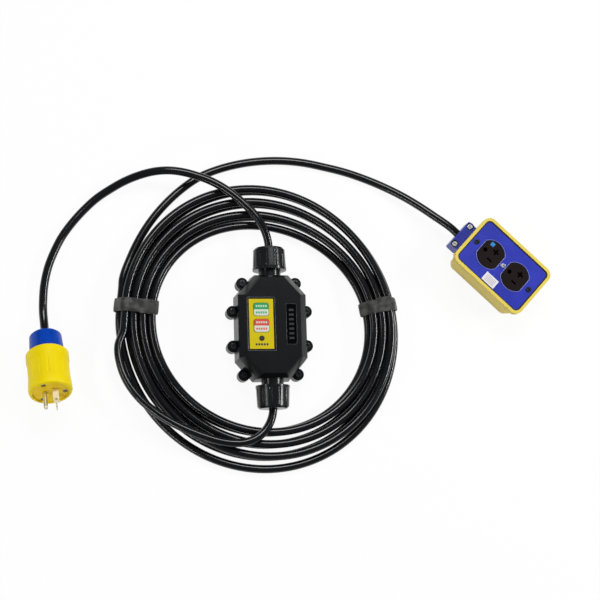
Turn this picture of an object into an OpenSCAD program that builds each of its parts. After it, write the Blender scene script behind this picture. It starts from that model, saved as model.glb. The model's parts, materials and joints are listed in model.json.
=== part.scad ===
// Portable shore power cord: a 20 A plug, a short lead, an in-line ground-fault unit,
// a strapped coil of three-core cord and a duplex outlet box.
// The frame: origin on the table under the middle of the ground-fault unit, +Y along the
// unit towards the plug lead, +X towards the outlet box, +Z up.

/* [Cord] */
// Outer diameter of the three-core cord
cord_d = 9.6; // [8.4:0.1:9.8]
// Free gap between neighbouring turns of the coil at the straps
turn_gap = 0.7; // [0.6:0.1:1.5]
// Extra spacing of the turns midway between the straps
turn_spread = 4.5; // [0:0.5:8]
// Free gap between the two layers of the coil
layer_gap = 0.6; // [0.5:0.1:2]
// Mean radius of the coil
coil_r = 145.5; // [135:0.5:150]
// Full turns that wind inwards on the upper layer
turns_in = 3; // [2:1:3]

/* [Straps] */
// Width of a strap along the cord
strap_w = 15.5; // [12:0.5:24]
// Thickness of a strap
strap_t = 2.2; // [1.2:0.1:3]
// Length of the loose tail of a strap from the last turn
strap_tail = 6; // [4:1:30]
// Free gap between a strap and the turns inside it
strap_clear = 0.6; // [0.4:0.1:1.5]

/* [Ground-fault unit] */
// Width of the case at the parting line
case_w = 82; // [80:1:90]
// Length of the case at the parting line
case_l = 122; // [118:1:128]
// Height of the case above its base
case_h = 48; // [46:0.5:52]
// Height of the cord axis
axis_z = 24; // [24:0.5:25]
// Height of the parting line between the two shells
parting_z = 9; // [8.5:0.5:9.5]
// Wall thickness of both shells
case_wall = 2.6; // [2:0.1:3.2]
// Width of the flat top face
top_w = 62; // [58:1:64]
// Length of the flat top face
top_l = 110; // [106:1:114]
// Radius of a screw lug
lug_r = 7; // [6.6:0.1:7.6]
// Height of a screw lug on each side of the parting line
lug_h = 7; // [6:0.5:7]
// Shank diameter of the case screws
case_screw_d = 4; // [3.5:0.1:4.4]
// Diameter of the neck of each cord gland
neck_d = 25.7; // [24:0.1:26.5]
// Length of bare neck between the case and the gland nut
neck_gap = 6; // [4:0.5:8]
// Length of a gland nut
nut_l = 26.5; // [25:0.5:32]
// Outer diameter of a gland nut at its case end
nut_d = 39.4; // [37:0.2:42]

/* [Buttons and label] */
// Width of the label plate
label_w = 28; // [26:0.5:29]
// Length of the label plate
label_l = 57.5; // [55:0.5:60]
// Thickness of the label plate
label_t = 0.6; // [0.4:0.1:1]
// Width of a push button
button_w = 16.8; // [14:0.2:18]
// Length of a push button along the unit
button_l = 14.8; // [12:0.2:16]
// Height of a button above the label plate
button_rise = 1; // [0.6:0.1:1.6]
// Travel of the reset button
reset_travel = 2; // [1:0.1:2.2]
// Travel of the test button
test_travel = 1.6; // [1:0.1:2.2]

/* [Plug] */
// Length of the plug from the rear of its nut to its face
plug_l = 76; // [74:1:84]
// Diameter of the plug body at its front
plug_d = 48; // [48:0.5:54]
// Diameter of the plug body at its waist
plug_waist_d = 46; // [45.6:0.2:46.4]
// Length of the blue clamp nut
clamp_nut_l = 25; // [22:0.5:27]
// Diameter of the clamp nut at its front
clamp_nut_d = 38.6; // [37:0.2:40]
// Nose-up angle at which the cord holds the plug
plug_pitch = 26; // [20:1:28]
// Width of a flat blade
blade_w = 6.35; // [6.2:0.05:6.4]
// Thickness of a flat blade
blade_t = 1.5; // [1.4:0.05:1.6]
// Length of a flat blade in front of the face
blade_l = 18.2; // [15.9:0.1:18.3]
// Distance between the two flat blades
blade_pitch = 12.7; // [12.5:0.1:12.9]
// Distance from the ground pin to the line of the blades
ground_offset = 11.9; // [11.7:0.1:12.1]
// Diameter of the ground pin
ground_d = 4.8; // [4.6:0.05:4.9]
// Length of the ground pin in front of the face
ground_l = 21.4; // [19:0.1:21.6]

/* [Outlet box] */
// Length of the box over its rim
box_l = 104.5; // [98:0.5:110]
// Width of the box over its rim
box_w = 71; // [66:1:74]
// Height of the box
box_h = 46; // [44:1:52]
// Wall thickness of the box
box_wall = 3; // [2.5:0.1:3.5]
// Width of the flat top edge of the rim
rim_w = 3.6; // [3.2:0.1:4.2]
// Thickness of the blue cover
cover_t = 3; // [2.5:0.1:3.5]
// Diameter of a receptacle face
face_d = 34.1; // [33.8:0.1:34.5]
// Distance across the flats of a receptacle face
face_flats = 28.6; // [28:0.1:29]
// Distance between the two receptacle faces
face_pitch = 38.9; // [38.5:0.1:39.2]
// Distance between the two end screws
end_screw_pitch = 83.4; // [83:0.1:84]
// Length of the strain relief clamp across the box
clamp_l = 37; // [36:1:42]
// Height of the cord axis at the outlet box
entry_z = 20; // [18:0.5:22]

/* [Hidden] */

$fn = 64;
eps = 0.01;
fit_gap = 0.15;        // turned parts that seat in one another
seat_gap = 0.3;        // running gap of moving parts
slot_gap = 0.1;        // blades in their slots
cord_r = cord_d / 2;
mouth_r = cord_r + 1.2;  // hole in a nut through which the cord passes
core_r = 3.2;            // bundle of the three cores inside a seal
up = [0, 0, 1];

// colours
black_case = [0.09, 0.09, 0.10];
black_nut = [0.06, 0.06, 0.07];
black_cord = [0.05, 0.05, 0.055];
strap_grey = [0.16, 0.16, 0.18];
label_yellow = [0.86, 0.76, 0.08];
plug_yellow = [0.95, 0.85, 0.05];
face_yellow = [0.83, 0.69, 0.16];
box_yellow = [0.93, 0.86, 0.45];
royal_blue = [0.17, 0.20, 0.68];
nut_blue = [0.05, 0.22, 0.62];
dark_brown = [0.10, 0.07, 0.06];
steel = [0.72, 0.72, 0.74];
brass = [0.80, 0.65, 0.30];
board_green = [0.10, 0.35, 0.18];
rubber = [0.13, 0.13, 0.13];

// ---------------------------------------------------------------- ground-fault unit sizes
base_inset = 3;                  // the rear shell narrows this much towards its base
corner_x = 20;                   // chamfered corners of the case outline
corner_y = 23;
shoulder_z = parting_z + 27;     // where the side walls turn in to the top face
shoulder_inset = 1.5;
lug_mid = [case_w / 2 + 2.2, 20.2];
lug_end = [case_w / 2 - 9.7, case_l / 2 - 7.6];
lug_places = [
    for (sx = [-1, 1], sy = [-1, 1], p = [lug_mid, lug_end]) [sx * p[0], sy * p[1]]
];
screw_head_r = 3.6;
screw_head_h = 2.6;
scallop_r = screw_head_r + 2;    // driver room above each lug
gasket_t = 1;
gasket_w = 1.2;
label_x = -label_w / 2 - 0.6;
label_y = 1;
label_z = case_h - 1;            // the plate lies in a shallow pocket
reset_y = label_y + 16.6;
test_y = label_y - 2.1;
led_y = label_y - 16.6;
name_x = 20;                     // bare recess for a name plate
name_w = 11.2;
name_l = 46;
board_z = 30;
board_t = 1.6;
board_w = 50;
board_l = 88;
post_x = board_w / 2 - 4;
post_y = board_l / 2 - 5;
post_r = 3.4;
board_screw_r = 1.25;
board_head_r = 2.4;
board_head_h = 1.8;
board_screw_l = 7.6;
button_r = 2.6;                  // corner radius of a button
flange_side = 1.5;               // flange that keeps a button under the shell
flange_t = 1.5;
top_inner_z = case_h - case_wall - 1;
flange_z = top_inner_z - seat_gap - flange_t;
stem_r = 2;
switch_side = 6;
switch_h = 4;
spring_in_r = 4.7;
spring_out_r = 5.5;
led_r = 1.5;
bezel_r = 3;
sensor_h = 12;
sensor_y = -16;
plunger_r = 2.6;
plunger_head_r = 3.6;
plunger_travel = 1.7;
solenoid_y = 8;
solenoid_x = -14;
solenoid_w = 14;
solenoid_l = 20;
carriage_w = 6;
carriage_l = 28;
carriage_h = 12.7;
carriage_x = solenoid_x + solenoid_l + 8 + plunger_travel + seat_gap;
carriage_travel = 2.5;
terminal_w = 2 * (post_x - board_head_r - 0.6);
terminal_l = 10;
terminal_h = 11;
terminal_y = 33;
gland_in_y = case_l / 2 - 8.5;   // inner end of a gland body
gland_flange_r = 15;
gland_flange_t = 3;
nut_y0 = case_l / 2 + neck_gap;
gland_end_y = nut_y0 + nut_l;
nut_end_wall = 3.5;
seal_l = 9;
seal_r = neck_d / 2 - 2;
cord_stop_in = 2;                // the cord stops this far inside a nut's mouth
unit_cord_y = gland_end_y - cord_stop_in;
nut_flutes = 12;

// ---------------------------------------------------------------- plug sizes
plug_rear_xy = [-255.8, -7];
plug_yaw = 5.2;
plug_rim_r = plug_d / 2 - 0.2;
waist_r = plug_waist_d / 2;
front_r = plug_d / 2;
plug_wall = 3;
rim_l = 11.5;                    // raised band behind the waist
grip_z = clamp_nut_l + 16.5;     // grip flutes run along the waist
grip_l = 20;
grip_r = 2;
grip_flutes = 16;
plug_neck_r = 14;
face_recess = 1.2;
face_t = 11;
plug_bore_r = waist_r - plug_wall;
blades_x = 5.2;
tail_l = 6;                      // blades and pin stand this far behind the face
ground_shank_d = ground_d - 0.8;
pin_step = 0.3;                  // the full pin starts this far in front of the face
nut_rear_r = clamp_nut_d / 2 - 1.2;
nut_chamfer = 2.2;
// outline points that could touch the table: [distance from the rear, radius]
plug_heel = [[0, nut_rear_r - nut_chamfer], [nut_chamfer, nut_rear_r], [clamp_nut_l, plug_rim_r]];
plug_rear_z = max([for (p = plug_heel) p[1] * cos(plug_pitch) - p[0] * sin(plug_pitch)]);
plug_axis = [
    sin(plug_yaw) * cos(plug_pitch), -cos(plug_yaw) * cos(plug_pitch), sin(plug_pitch)
];
plug_rear = [plug_rear_xy[0], plug_rear_xy[1], plug_rear_z];
face_screw_r = 15.8;
face_screw_angle = 117;

// ---------------------------------------------------------------- outlet box sizes
box_xy = [276.5, 70.2];
box_yaw = -43.6;
box_u = [cos(box_yaw), sin(box_yaw), 0];
rim_h = 8;
rim_r = 10;
shell_inset = 2;                 // the wall stands in from the rim
base_draft = 4;                  // and leans in this much more towards the base
cover_drop = 1.5;                // the cover lies this far below the rim
cover_top = box_h - cover_drop;
cover_z = cover_top - cover_t;
box_gasket_t = 1;
ledge_z = cover_z - box_gasket_t;
ledge_w = 3.4;
cover_gap = 0.4;
cover_l = box_l - 2 * rim_w - 2 * cover_gap;
cover_w = box_w - 2 * rim_w - 2 * cover_gap;
cover_r = rim_r - rim_w;
wall_l = box_l - 2 * shell_inset;
wall_w = box_w - 2 * shell_inset;
face_rise = 0.8;                 // the receptacle faces stand this proud of the cover
face_plate_t = 4;
face_top = cover_top + face_rise;
plate_top = ledge_z - 0.7;
plate_z = plate_top - face_plate_t;
recept_l = 68;
recept_w = 33;
recept_z = 14;
yoke_t = 1.2;
yoke_w = 20;
yoke_l = 88.4;
ear_z = plate_top - yoke_t;
ledge_base_z = ledge_z - 2.5;
end_screw_r = 1.75;
centre_screw_r = 1.5;
boss_r = 4.4;
boss_z = entry_z + 8;            // above the cord entry
contact_w = 5.6;
leaf_t = 0.6;
leaf_h = 12.6;
ground_clip_r = 3.4;
slots_u = 3;
ground_u = slots_u - ground_offset;
ground_hole_r = ground_d / 2 + 0.2;
hot_slot = [7, blade_t + 0.5];
neutral_slot = [8.4, blade_t + 0.5];
cross_slot = [blade_t + 0.5, 8];
channel_z = recept_z + 3;
clamp_u0 = -wall_l / 2;
pad_depth = box_wall + base_draft + 1;
boss_reach = wall_l / 2 - box_wall - end_screw_pitch / 2 + 1;  // from the screw into the wall
clamp_depth = 13.5;
clamp_u1 = clamp_u0 - clamp_depth;
clamp_low = 9;
clamp_high = 9;
clamp_screw_v = clamp_l / 2 - 4;
grommet_r = 7;
grommet_l = clamp_depth - 3 + box_wall + 1;
box_cord_u = clamp_u1 + 3;

// ---------------------------------------------------------------- coil
rings_per_turn = 24;
ring_step = 360 / rings_per_turn;
coil_sides = 6;
coil_centre = [-9, 8];
coil_drop = 2.3;                 // the ring sits a little low of its centre
coil_skew = 3.4;                 // and is a little oval along one diagonal
strap_angle = ring_step / 2;     // the straps sit midway between two rings
turn_pitch = cord_d + turn_gap;
layer_rise = cord_d + layer_gap;
strap_lift = (strap_t + strap_clear) / pow(cos(strap_angle), 8);
half_turn = rings_per_turn / 2;
rings_in = turns_in * rings_per_turn;             // winding inwards, upper layer
rings_back = rings_in + half_turn;                // the half turn that climbs down
last_ring = 2 * rings_in + rings_per_turn + 1;    // winding outwards, lower layer
mid_slot = (turns_in - 0.5) / 2;

function slot_at(i) = i < rings_in ? i / rings_per_turn
    : i < rings_back ? turns_in
    : turns_in - (i - rings_back) / rings_per_turn;
function angle_at(i) = 180 - ring_step * i;
function ease(t) = t * t * (3 - 2 * t);
function layer_at(i) = 1 - ease(min(1, max(0, (i - rings_in) / half_turn)));
function near_strap(a) = pow(max(0, cos(a - strap_angle)), 8)
    + pow(max(0, -cos(a + strap_angle)), 8);
function pitch_at(a) = turn_pitch + turn_spread * pow(sin(a), 2) * (1 + 0.2 * sin(a));
function mid_r(a) = coil_r - coil_drop * sin(a) - coil_skew * sin(2 * a);
function coil_radius(i) = mid_r(angle_at(i)) + (mid_slot - slot_at(i)) * pitch_at(angle_at(i));
function coil_height(i) = cord_r + strap_lift * near_strap(angle_at(i))
    + layer_rise * layer_at(i);
function coil_point(i) = [
    coil_centre[0] + coil_radius(i) * cos(angle_at(i)),
    coil_centre[1] + coil_radius(i) * sin(angle_at(i)),
    coil_height(i)
];
coil_route = [for (i = [0 : last_ring]) coil_point(i)];

// least gap of the coil to itself, measured at the rings and midway between them
coil_samples = [
    for (k = [0 : 2 * last_ring])
        (coil_route[floor(k / 2)] + coil_route[ceil(k / 2)]) / 2
];
coil_gap = min([
    for (i = [0 : len(coil_samples) - 1], j = [i + rings_per_turn : len(coil_samples) - 1])
        norm(coil_samples[i] - coil_samples[j])
]) - cord_d;
echo(least_gap_of_coil_to_itself_mm = coil_gap);

// ---------------------------------------------------------------- routes of the free cord
box_end = [box_xy[0], box_xy[1], entry_z] + box_cord_u * box_u;
coil_start = coil_route[0];
coil_start_dir = unit(coil_route[1] - coil_route[0]);
coil_finish = coil_route[last_ring];
coil_finish_dir = unit(coil_route[last_ring] - coil_route[last_ring - 1]);

lead_route = concat(
    [[0, unit_cord_y, axis_z], [-0.8, unit_cord_y + 10.5, axis_z + 0.6]],
    [
        [-4.5, 114, 26.5], [-11, 126, 28], [-19.5, 137, 28], [-29.5, 147, 28], [-41, 157, 28],
        [-54, 166, 28], [-68.5, 173.5, 28], [-84, 179, 28], [-100, 183, 28], [-117, 185, 26],
        [-134, 184, 22.5], [-151, 180, 18], [-167, 174, 13], [-182, 166, 8.5], [-197, 156, 6],
        [-211, 143, 5], [-225, 127, 5], [-237, 110, 5], [-246, 92, 5], [-253, 73, 5],
        [-257.2, 52, 5], [-258.4, 32, 5.1], [-258.2, 21, 5.9], [-257.3, 10.6, 8.1]
    ],
    [plug_rear - 8 * plug_axis],
    [plug_rear + cord_stop_in * plug_axis]
);

feed_route = concat(
    [[0, -unit_cord_y, axis_z]],
    [
        [-2.6, -105.3, 25], [-9.7, -117.6, 26], [-20.5, -126.6, 27], [-33.7, -131.2, 27],
        [-48, -131.5, 27], [-65, -128.5, 27], [-83, -122.5, 27], [-101, -115, 27],
        [-119, -105.5, 27], [-136, -94, 27], [-151.5, -80, 27], [-164.5, -62, 25.5],
        [-172.5, -41, 22.5], [-174.5, -19, 19.5]
    ],
    [coil_start - cord_d * coil_start_dir, coil_start]
);

tail_route = concat(
    [coil_finish, coil_finish + cord_d * coil_finish_dir],
    [
        [-159, 86, 5.5], [-149, 107, 5], [-136, 128, 5], [-119, 149, 5], [-99, 168, 5],
        [-78, 183, 5], [-55, 193, 5], [-30, 200, 5], [-4, 204, 5], [22, 205, 5],
        [48, 203, 5], [74, 198, 5], [99, 192, 5], [123, 184, 5], [146, 174, 6.5],
        [168, 162, 9.5], [187, 149, 13.5], [203, 136.5, 17.5]
    ],
    [box_end - 14 * box_u, box_end]
);

// ---------------------------------------------------------------- shared shapes
function unit(v) = v / norm(v);

// Tube swept along route points; the first and last rings stand square to the given ends
module cord_tube(route, first_dir, last_dir, sides) {
    n = len(route);
    dirs = [
        for (i = [0 : n - 1])
            i == 0 ? first_dir
            : i == n - 1 ? last_dir
            : unit(unit(route[i + 1] - route[i]) + unit(route[i] - route[i - 1]))
    ];
    points = [
        for (i = [0 : n - 1], k = [0 : sides - 1])
            let (side = unit(cross(dirs[i], up)), rise = cross(side, dirs[i]))
            let (a = 360 * (k + 0.5) / sides)
            route[i] + cord_r * (cos(a) * side + sin(a) * rise)
    ];
    walls = [
        for (i = [0 : n - 2], k = [0 : sides - 1])
            let (a = i * sides + k, b = i * sides + (k + 1) % sides)
            each [[a, b, b + sides], [a, b + sides, a + sides]]
    ];
    first_cap = [for (k = [1 : sides - 2]) [0, k + 1, k]];
    last_cap = [for (k = [1 : sides - 2]) (n - 1) * sides * [1, 1, 1] + [0, k, k + 1]];
    polyhedron(points = points, faces = concat(walls, first_cap, last_cap));
}

module octagon(w, l, cx, cy) {
    polygon([
        [w / 2 - cx, -l / 2], [w / 2, -l / 2 + cy], [w / 2, l / 2 - cy], [w / 2 - cx, l / 2],
        [-w / 2 + cx, l / 2], [-w / 2, l / 2 - cy], [-w / 2, -l / 2 + cy], [-w / 2 + cx, -l / 2]
    ]);
}

module rounded_rect(l, w, r) {
    square([l, w - 2 * r], center = true);
    square([l - 2 * r, w], center = true);
    for (sx = [-1, 1], sy = [-1, 1])
        translate([sx * (l / 2 - r), sy * (w / 2 - r)]) circle(r);
}

module block(l, w, h, r) {
    linear_extrude(h) rounded_rect(l, w, r);
}

// Turned part along +Y of the unit, mirrored to the south end when side is -1
module on_gland_axis(side) {
    translate([0, 0, axis_z]) rotate([-90 * side, 0, 0]) children();
}

module place_plug() {
    translate(plug_rear) rotate([90 - plug_pitch, 0, plug_yaw]) children();
}

module place_box() {
    translate([box_xy[0], box_xy[1], 0]) rotate([0, 0, box_yaw]) children();
}

// ---------------------------------------------------------------- ground-fault unit
// Outer form of the front shell; inset moves every wall inwards
module front_form(inset) {
    hull() {
        translate([0, 0, parting_z])
            linear_extrude(eps)
                octagon(case_w - 2 * inset, case_l - 2 * inset, corner_x, corner_y);
        translate([0, 0, shoulder_z - inset])
            linear_extrude(eps)
                octagon(
                    case_w - 2 * shoulder_inset - 2 * inset,
                    case_l - 2 * shoulder_inset - 2 * inset, corner_x, corner_y
                );
        translate([0, 0, case_h - 1.4 * inset - eps])
            linear_extrude(eps)
                octagon(top_w - 2 * inset, top_l - 2 * inset, corner_x - 2, corner_y - 3);
    }
}

module rear_form(inset) {
    hull() {
        translate([0, 0, inset])
            linear_extrude(eps)
                octagon(
                    case_w - 2 * base_inset - 2 * inset,
                    case_l - 2 * base_inset - 2 * inset, corner_x, corner_y
                );
        translate([0, 0, parting_z - gasket_t - eps])
            linear_extrude(eps)
                octagon(case_w - 2 * inset, case_l - 2 * inset, corner_x, corner_y);
    }
}

module at_lugs() {
    for (p = lug_places) translate([p[0], p[1], 0]) children();
}

module gland_holes() {
    for (side = [-1, 1])
        on_gland_axis(side)
            translate([0, 0, case_l / 2 - 12])
                cylinder(r = neck_d / 2 + fit_gap, h = 20);
}

module unit_rear_shell() {
    color(black_case) difference() {
        union() {
            difference() {
                rear_form(0);
                rear_form(case_wall);
            }
            at_lugs()
                translate([0, 0, parting_z - gasket_t - lug_h]) cylinder(r = lug_r, h = lug_h);
        }
        at_lugs()
            translate([0, 0, parting_z - gasket_t - lug_h - 1])
                cylinder(d = case_screw_d + 2 * slot_gap, h = lug_h + 2);
    }
}

module unit_front_shell() {
    color(black_case) difference() {
        union() {
            difference() {
                front_form(0);
                front_form(case_wall);
            }
            intersection() {
                front_form(0);
                at_lugs() translate([0, 0, parting_z]) cylinder(r = scallop_r + case_wall, h = case_h);
            }
            at_lugs() translate([0, 0, parting_z]) cylinder(r = lug_r, h = lug_h);
            for (sx = [-1, 1], sy = [-1, 1])
                translate([sx * post_x, sy * post_y, board_z + board_t])
                    cylinder(r = post_r, h = top_inner_z - board_z - board_t + 0.5);
        }
        at_lugs() {
            translate([0, 0, parting_z - 1])
                cylinder(d = case_screw_d + 2 * slot_gap, h = lug_h + 2);
            translate([0, 0, parting_z + lug_h]) cylinder(r = scallop_r, h = case_h);
        }
        gland_holes();
        // pocket for the label plate, button holes and light pipe
        translate([label_x, label_y, label_z])
            linear_extrude(case_h) square([label_w + 0.4, label_l + 0.4], center = true);
        for (y = [reset_y, test_y])
            translate([label_x, y, board_z + board_t + 6])
                block(button_w + 2 * seat_gap, button_l + 2 * seat_gap, case_h, button_r);
        translate([label_x, led_y, top_inner_z - 2])
            cylinder(r = led_r + fit_gap, h = case_h);
        // bare recess beside the label
        translate([name_x, label_y - 0.2, case_h - 0.8])
            linear_extrude(case_h) square([name_w, name_l], center = true);
        for (sx = [-1, 1], sy = [-1, 1])
            translate([sx * post_x, sy * post_y, board_z])
                cylinder(r = board_screw_r + slot_gap, h = board_screw_l + 1.4);
    }
}

module unit_gasket() {
    color(rubber) difference() {
        translate([0, 0, parting_z - gasket_t])
            linear_extrude(gasket_t) difference() {
                octagon(case_w - 1.4, case_l - 1.4, corner_x, corner_y);
                octagon(
                    case_w - 1.4 - 2 * gasket_w, case_l - 1.4 - 2 * gasket_w,
                    corner_x, corner_y
                );
            }
        at_lugs() cylinder(d = case_screw_d + 1, h = case_h);
    }
}

module unit_case_screws() {
    color(steel) at_lugs() {
        translate([0, 0, parting_z + lug_h]) difference() {
            cylinder(r = screw_head_r, h = screw_head_h);
            translate([0, 0, screw_head_h - 1.4]) cylinder(d = 3.4, h = 2, $fn = 6);
        }
        translate([0, 0, parting_z - gasket_t - lug_h + 1])
            cylinder(d = case_screw_d, h = 2 * lug_h + gasket_t - 1);
    }
}

module label_plate() {
    color(label_yellow) difference() {
        translate([label_x, label_y, label_z])
            linear_extrude(label_t + 0.2) square([label_w, label_l], center = true);
        for (y = [reset_y, test_y])
            translate([label_x, y, 0])
                block(button_w + 2 * seat_gap, button_l + 2 * seat_gap, 2 * case_h, button_r);
        translate([label_x, led_y, 0]) cylinder(r = led_r + fit_gap, h = 2 * case_h);
    }
}

// A keycap with its retaining flange and the stem that works the switch below it
module push_button(y, travel) {
    switch_top = board_z + board_t + switch_h;
    translate([label_x, y, 0]) {
        translate([0, 0, flange_z])
            block(button_w, button_l, label_z + label_t + 0.2 + button_rise - flange_z, button_r);
        translate([0, 0, flange_z])
            block(
                button_w + 2 * flange_side, button_l + 2 * flange_side, flange_t, button_r
            );
        translate([0, 0, switch_top + travel + seat_gap])
            cylinder(r = stem_r, h = flange_z - switch_top - travel - seat_gap + eps);
    }
}

module reset_button() {
    color([0.10, 0.55, 0.30]) push_button(reset_y, reset_travel);
}

module test_button() {
    color([0.82, 0.25, 0.22]) push_button(test_y, test_travel);
}

// A return spring between the board and the flange of its button
module button_spring(y) {
    translate([label_x, y, board_z + board_t]) difference() {
        cylinder(r = spring_out_r, h = flange_z - board_z - board_t);
        translate([0, 0, -1]) cylinder(r = spring_in_r, h = case_h);
    }
}

module reset_spring() {
    color(steel) button_spring(reset_y);
}

module test_spring() {
    color(steel) button_spring(test_y);
}

module button_switches() {
    color(rubber) for (y = [reset_y, test_y])
        translate([label_x - switch_side / 2, y - switch_side / 2, board_z + board_t])
            cube([switch_side, switch_side, switch_h]);
}

module led_lens() {
    color([0.75, 0.78, 0.80]) translate([label_x, led_y, board_z + board_t])
        cylinder(r = led_r, h = label_z + label_t + 1 - board_z - board_t);
}

module led_bezel() {
    color(rubber) translate([label_x, led_y, label_z + label_t + 0.2]) difference() {
        cylinder(r = bezel_r, h = 0.5);
        translate([0, 0, -1]) cylinder(r = led_r + fit_gap, h = 3);
    }
}

module circuit_board() {
    color(board_green) difference() {
        translate([0, 0, board_z]) block(board_w, board_l, board_t, 2);
        for (sx = [-1, 1], sy = [-1, 1])
            translate([sx * post_x, sy * post_y, 0])
                cylinder(r = board_screw_r + 0.3, h = case_h);
    }
}

module board_screws() {
    color(steel) for (sx = [-1, 1], sy = [-1, 1])
        translate([sx * post_x, sy * post_y, board_z]) {
            translate([0, 0, -board_head_h]) cylinder(r = board_head_r, h = board_head_h);
            cylinder(r = board_screw_r, h = board_screw_l);
        }
}

module current_sensor() {
    color(rubber) translate([0, sensor_y, board_z - sensor_h]) rotate_extrude()
        translate([7, 0]) square([7, sensor_h]);
}

module trip_solenoid() {
    color(brass) difference() {
        translate([solenoid_x, solenoid_y - solenoid_w / 2, board_z - solenoid_w])
            cube([solenoid_l, solenoid_w, solenoid_w]);
        translate([solenoid_x - 1, solenoid_y, board_z - solenoid_w / 2])
            rotate([0, 90, 0]) cylinder(r = plunger_r + 0.06, h = solenoid_l + 2);
    }
}

module trip_plunger() {
    color(steel) translate([solenoid_x + 5, solenoid_y, board_z - solenoid_w / 2])
        rotate([0, 90, 0]) {
            cylinder(r = plunger_r, h = solenoid_l + 1);
            translate([0, 0, solenoid_l + 1]) cylinder(r = plunger_head_r, h = 2);
        }
}

// The carriage slides down off the fixed contacts when the unit trips
module contact_carriage() {
    color([0.85, 0.83, 0.78])
        translate([carriage_x, solenoid_y - carriage_l / 2, board_z - carriage_h - seat_gap])
            difference() {
                cube([carriage_w, carriage_l, carriage_h]);
                translate([-1, carriage_l / 2 - 4, -1]) cube([carriage_w + 2, 8, 7]);
            }
}

module terminal_row(y) {
    translate([-terminal_w / 2, y - terminal_l / 2, board_z - terminal_h]) difference() {
        cube([terminal_w, terminal_l, terminal_h]);
        for (k = [-1 : 1])
            translate([terminal_w / 2 + k * terminal_w / 3, terminal_l / 2, -1])
                cylinder(r = 2.2, h = 8);
    }
}

module line_terminals() {
    color([0.20, 0.38, 0.28]) terminal_row(terminal_y);
}

module load_terminals() {
    color([0.20, 0.38, 0.28]) terminal_row(-terminal_y - 4);
}

module gland_body(side) {
    color(black_nut) on_gland_axis(side) difference() {
        union() {
            translate([0, 0, gland_in_y - gland_flange_t])
                cylinder(r = gland_flange_r, h = gland_flange_t, $fn = 6);
            translate([0, 0, gland_in_y - eps])
                cylinder(d = neck_d, h = gland_end_y - nut_end_wall - seal_l - gland_in_y + eps);
        }
        cylinder(r = mouth_r, h = gland_end_y);
    }
}

module gland_nut(side) {
    thread_r = neck_d / 2 + fit_gap;
    outer_r = nut_d / 2;
    end_r = outer_r - 1.4;
    flute_r = 2.6;
    color(black_nut) on_gland_axis(side) difference() {
        rotate_extrude() polygon([
            [thread_r, nut_y0], [outer_r, nut_y0], [outer_r, nut_y0 + 3],
            [outer_r - 0.5, nut_y0 + 3.5], [end_r, gland_end_y - 2.5],
            [end_r - 2.2, gland_end_y], [mouth_r, gland_end_y],
            [mouth_r, gland_end_y - nut_end_wall], [thread_r, gland_end_y - nut_end_wall]
        ]);
        for (k = [0 : nut_flutes - 1])
            rotate([0, 0, 360 * (k + 0.5) / nut_flutes])
                translate([outer_r + flute_r - 1.4, 0, nut_y0 + 3.5])
                    cylinder(r = flute_r, h = nut_l, $fn = 32);
    }
}

module gland_seal(side) {
    color(rubber) on_gland_axis(side) rotate_extrude() polygon([
        [core_r, gland_end_y - nut_end_wall - seal_l], [seal_r, gland_end_y - nut_end_wall - seal_l],
        [seal_r, gland_end_y - nut_end_wall], [mouth_r - fit_gap, gland_end_y - nut_end_wall],
        [mouth_r - fit_gap, unit_cord_y], [core_r, unit_cord_y]
    ]);
}

module north_gland_body() { gland_body(1); }
module north_gland_nut() { gland_nut(1); }
module north_gland_seal() { gland_seal(1); }
module south_gland_body() { gland_body(-1); }
module south_gland_nut() { gland_nut(-1); }
module south_gland_seal() { gland_seal(-1); }

// ---------------------------------------------------------------- plug
// In the plug's own frame +Z runs from the rear of the nut to the face
face_z = plug_l - face_recess;
terminal_z = face_z - face_t - 9;   // screw clamps behind the face
terminal_depth = 8.8;
neck_z = clamp_nut_l - 16;          // rear end of the shell's neck inside the nut

module plug_shell() {
    color(plug_yellow) place_plug() difference() {
        rotate_extrude($fn = 96) polygon([
            [plug_neck_r - 3, neck_z], [plug_neck_r, neck_z], [plug_neck_r, clamp_nut_l + 0.3],
            [plug_rim_r - 1.5, clamp_nut_l + 0.3], [plug_rim_r, clamp_nut_l + 1.8],
            [plug_rim_r, clamp_nut_l + rim_l], [waist_r, clamp_nut_l + rim_l + 1.5],
            [waist_r, plug_l - 19], [front_r, plug_l - 9], [front_r, plug_l - 3],
            [front_r - 0.9, plug_l - 0.9], [front_r - 3, plug_l], [plug_bore_r, plug_l],
            [plug_bore_r, clamp_nut_l + 3.5], [plug_neck_r - 3, clamp_nut_l + 3.5]
        ]);
        // shallow grip flutes round the waist
        for (k = [0 : grip_flutes - 1])
            rotate([0, 0, 360 * k / grip_flutes])
                translate([waist_r + grip_r - 0.4, 0, grip_z])
                    cylinder(r = grip_r, h = grip_l, $fn = 32);
    }
}

module blade_slots(gap) {
    translate([blades_x - blade_w / 2 - gap, blade_pitch / 2 - blade_t / 2 - gap, 0])
        cube([blade_w + 2 * gap, blade_t + 2 * gap, 2 * plug_l]);
    translate([blades_x - blade_t / 2 - gap, -blade_pitch / 2 - blade_w / 2 - gap, 0])
        cube([blade_t + 2 * gap, blade_w + 2 * gap, 2 * plug_l]);
    translate([blades_x - ground_offset, 0, 0])
        cylinder(d = ground_shank_d + 2 * gap, h = 2 * plug_l);
}

module at_face_screws() {
    for (k = [0 : 2])
        rotate([0, 0, face_screw_angle + 120 * k]) translate([face_screw_r, 0, 0]) children();
}

module plug_face() {
    color(face_yellow) place_plug() difference() {
        translate([0, 0, face_z - face_t]) cylinder(r = plug_bore_r - fit_gap, h = face_t);
        blade_slots(slot_gap);
        at_face_screws() {
            translate([0, 0, face_z - face_t - 1]) cylinder(r = 1.6, h = face_t + 2);
            translate([0, 0, face_z - 2.4]) cylinder(r = 2.9, h = 3);
        }
    }
}

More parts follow.
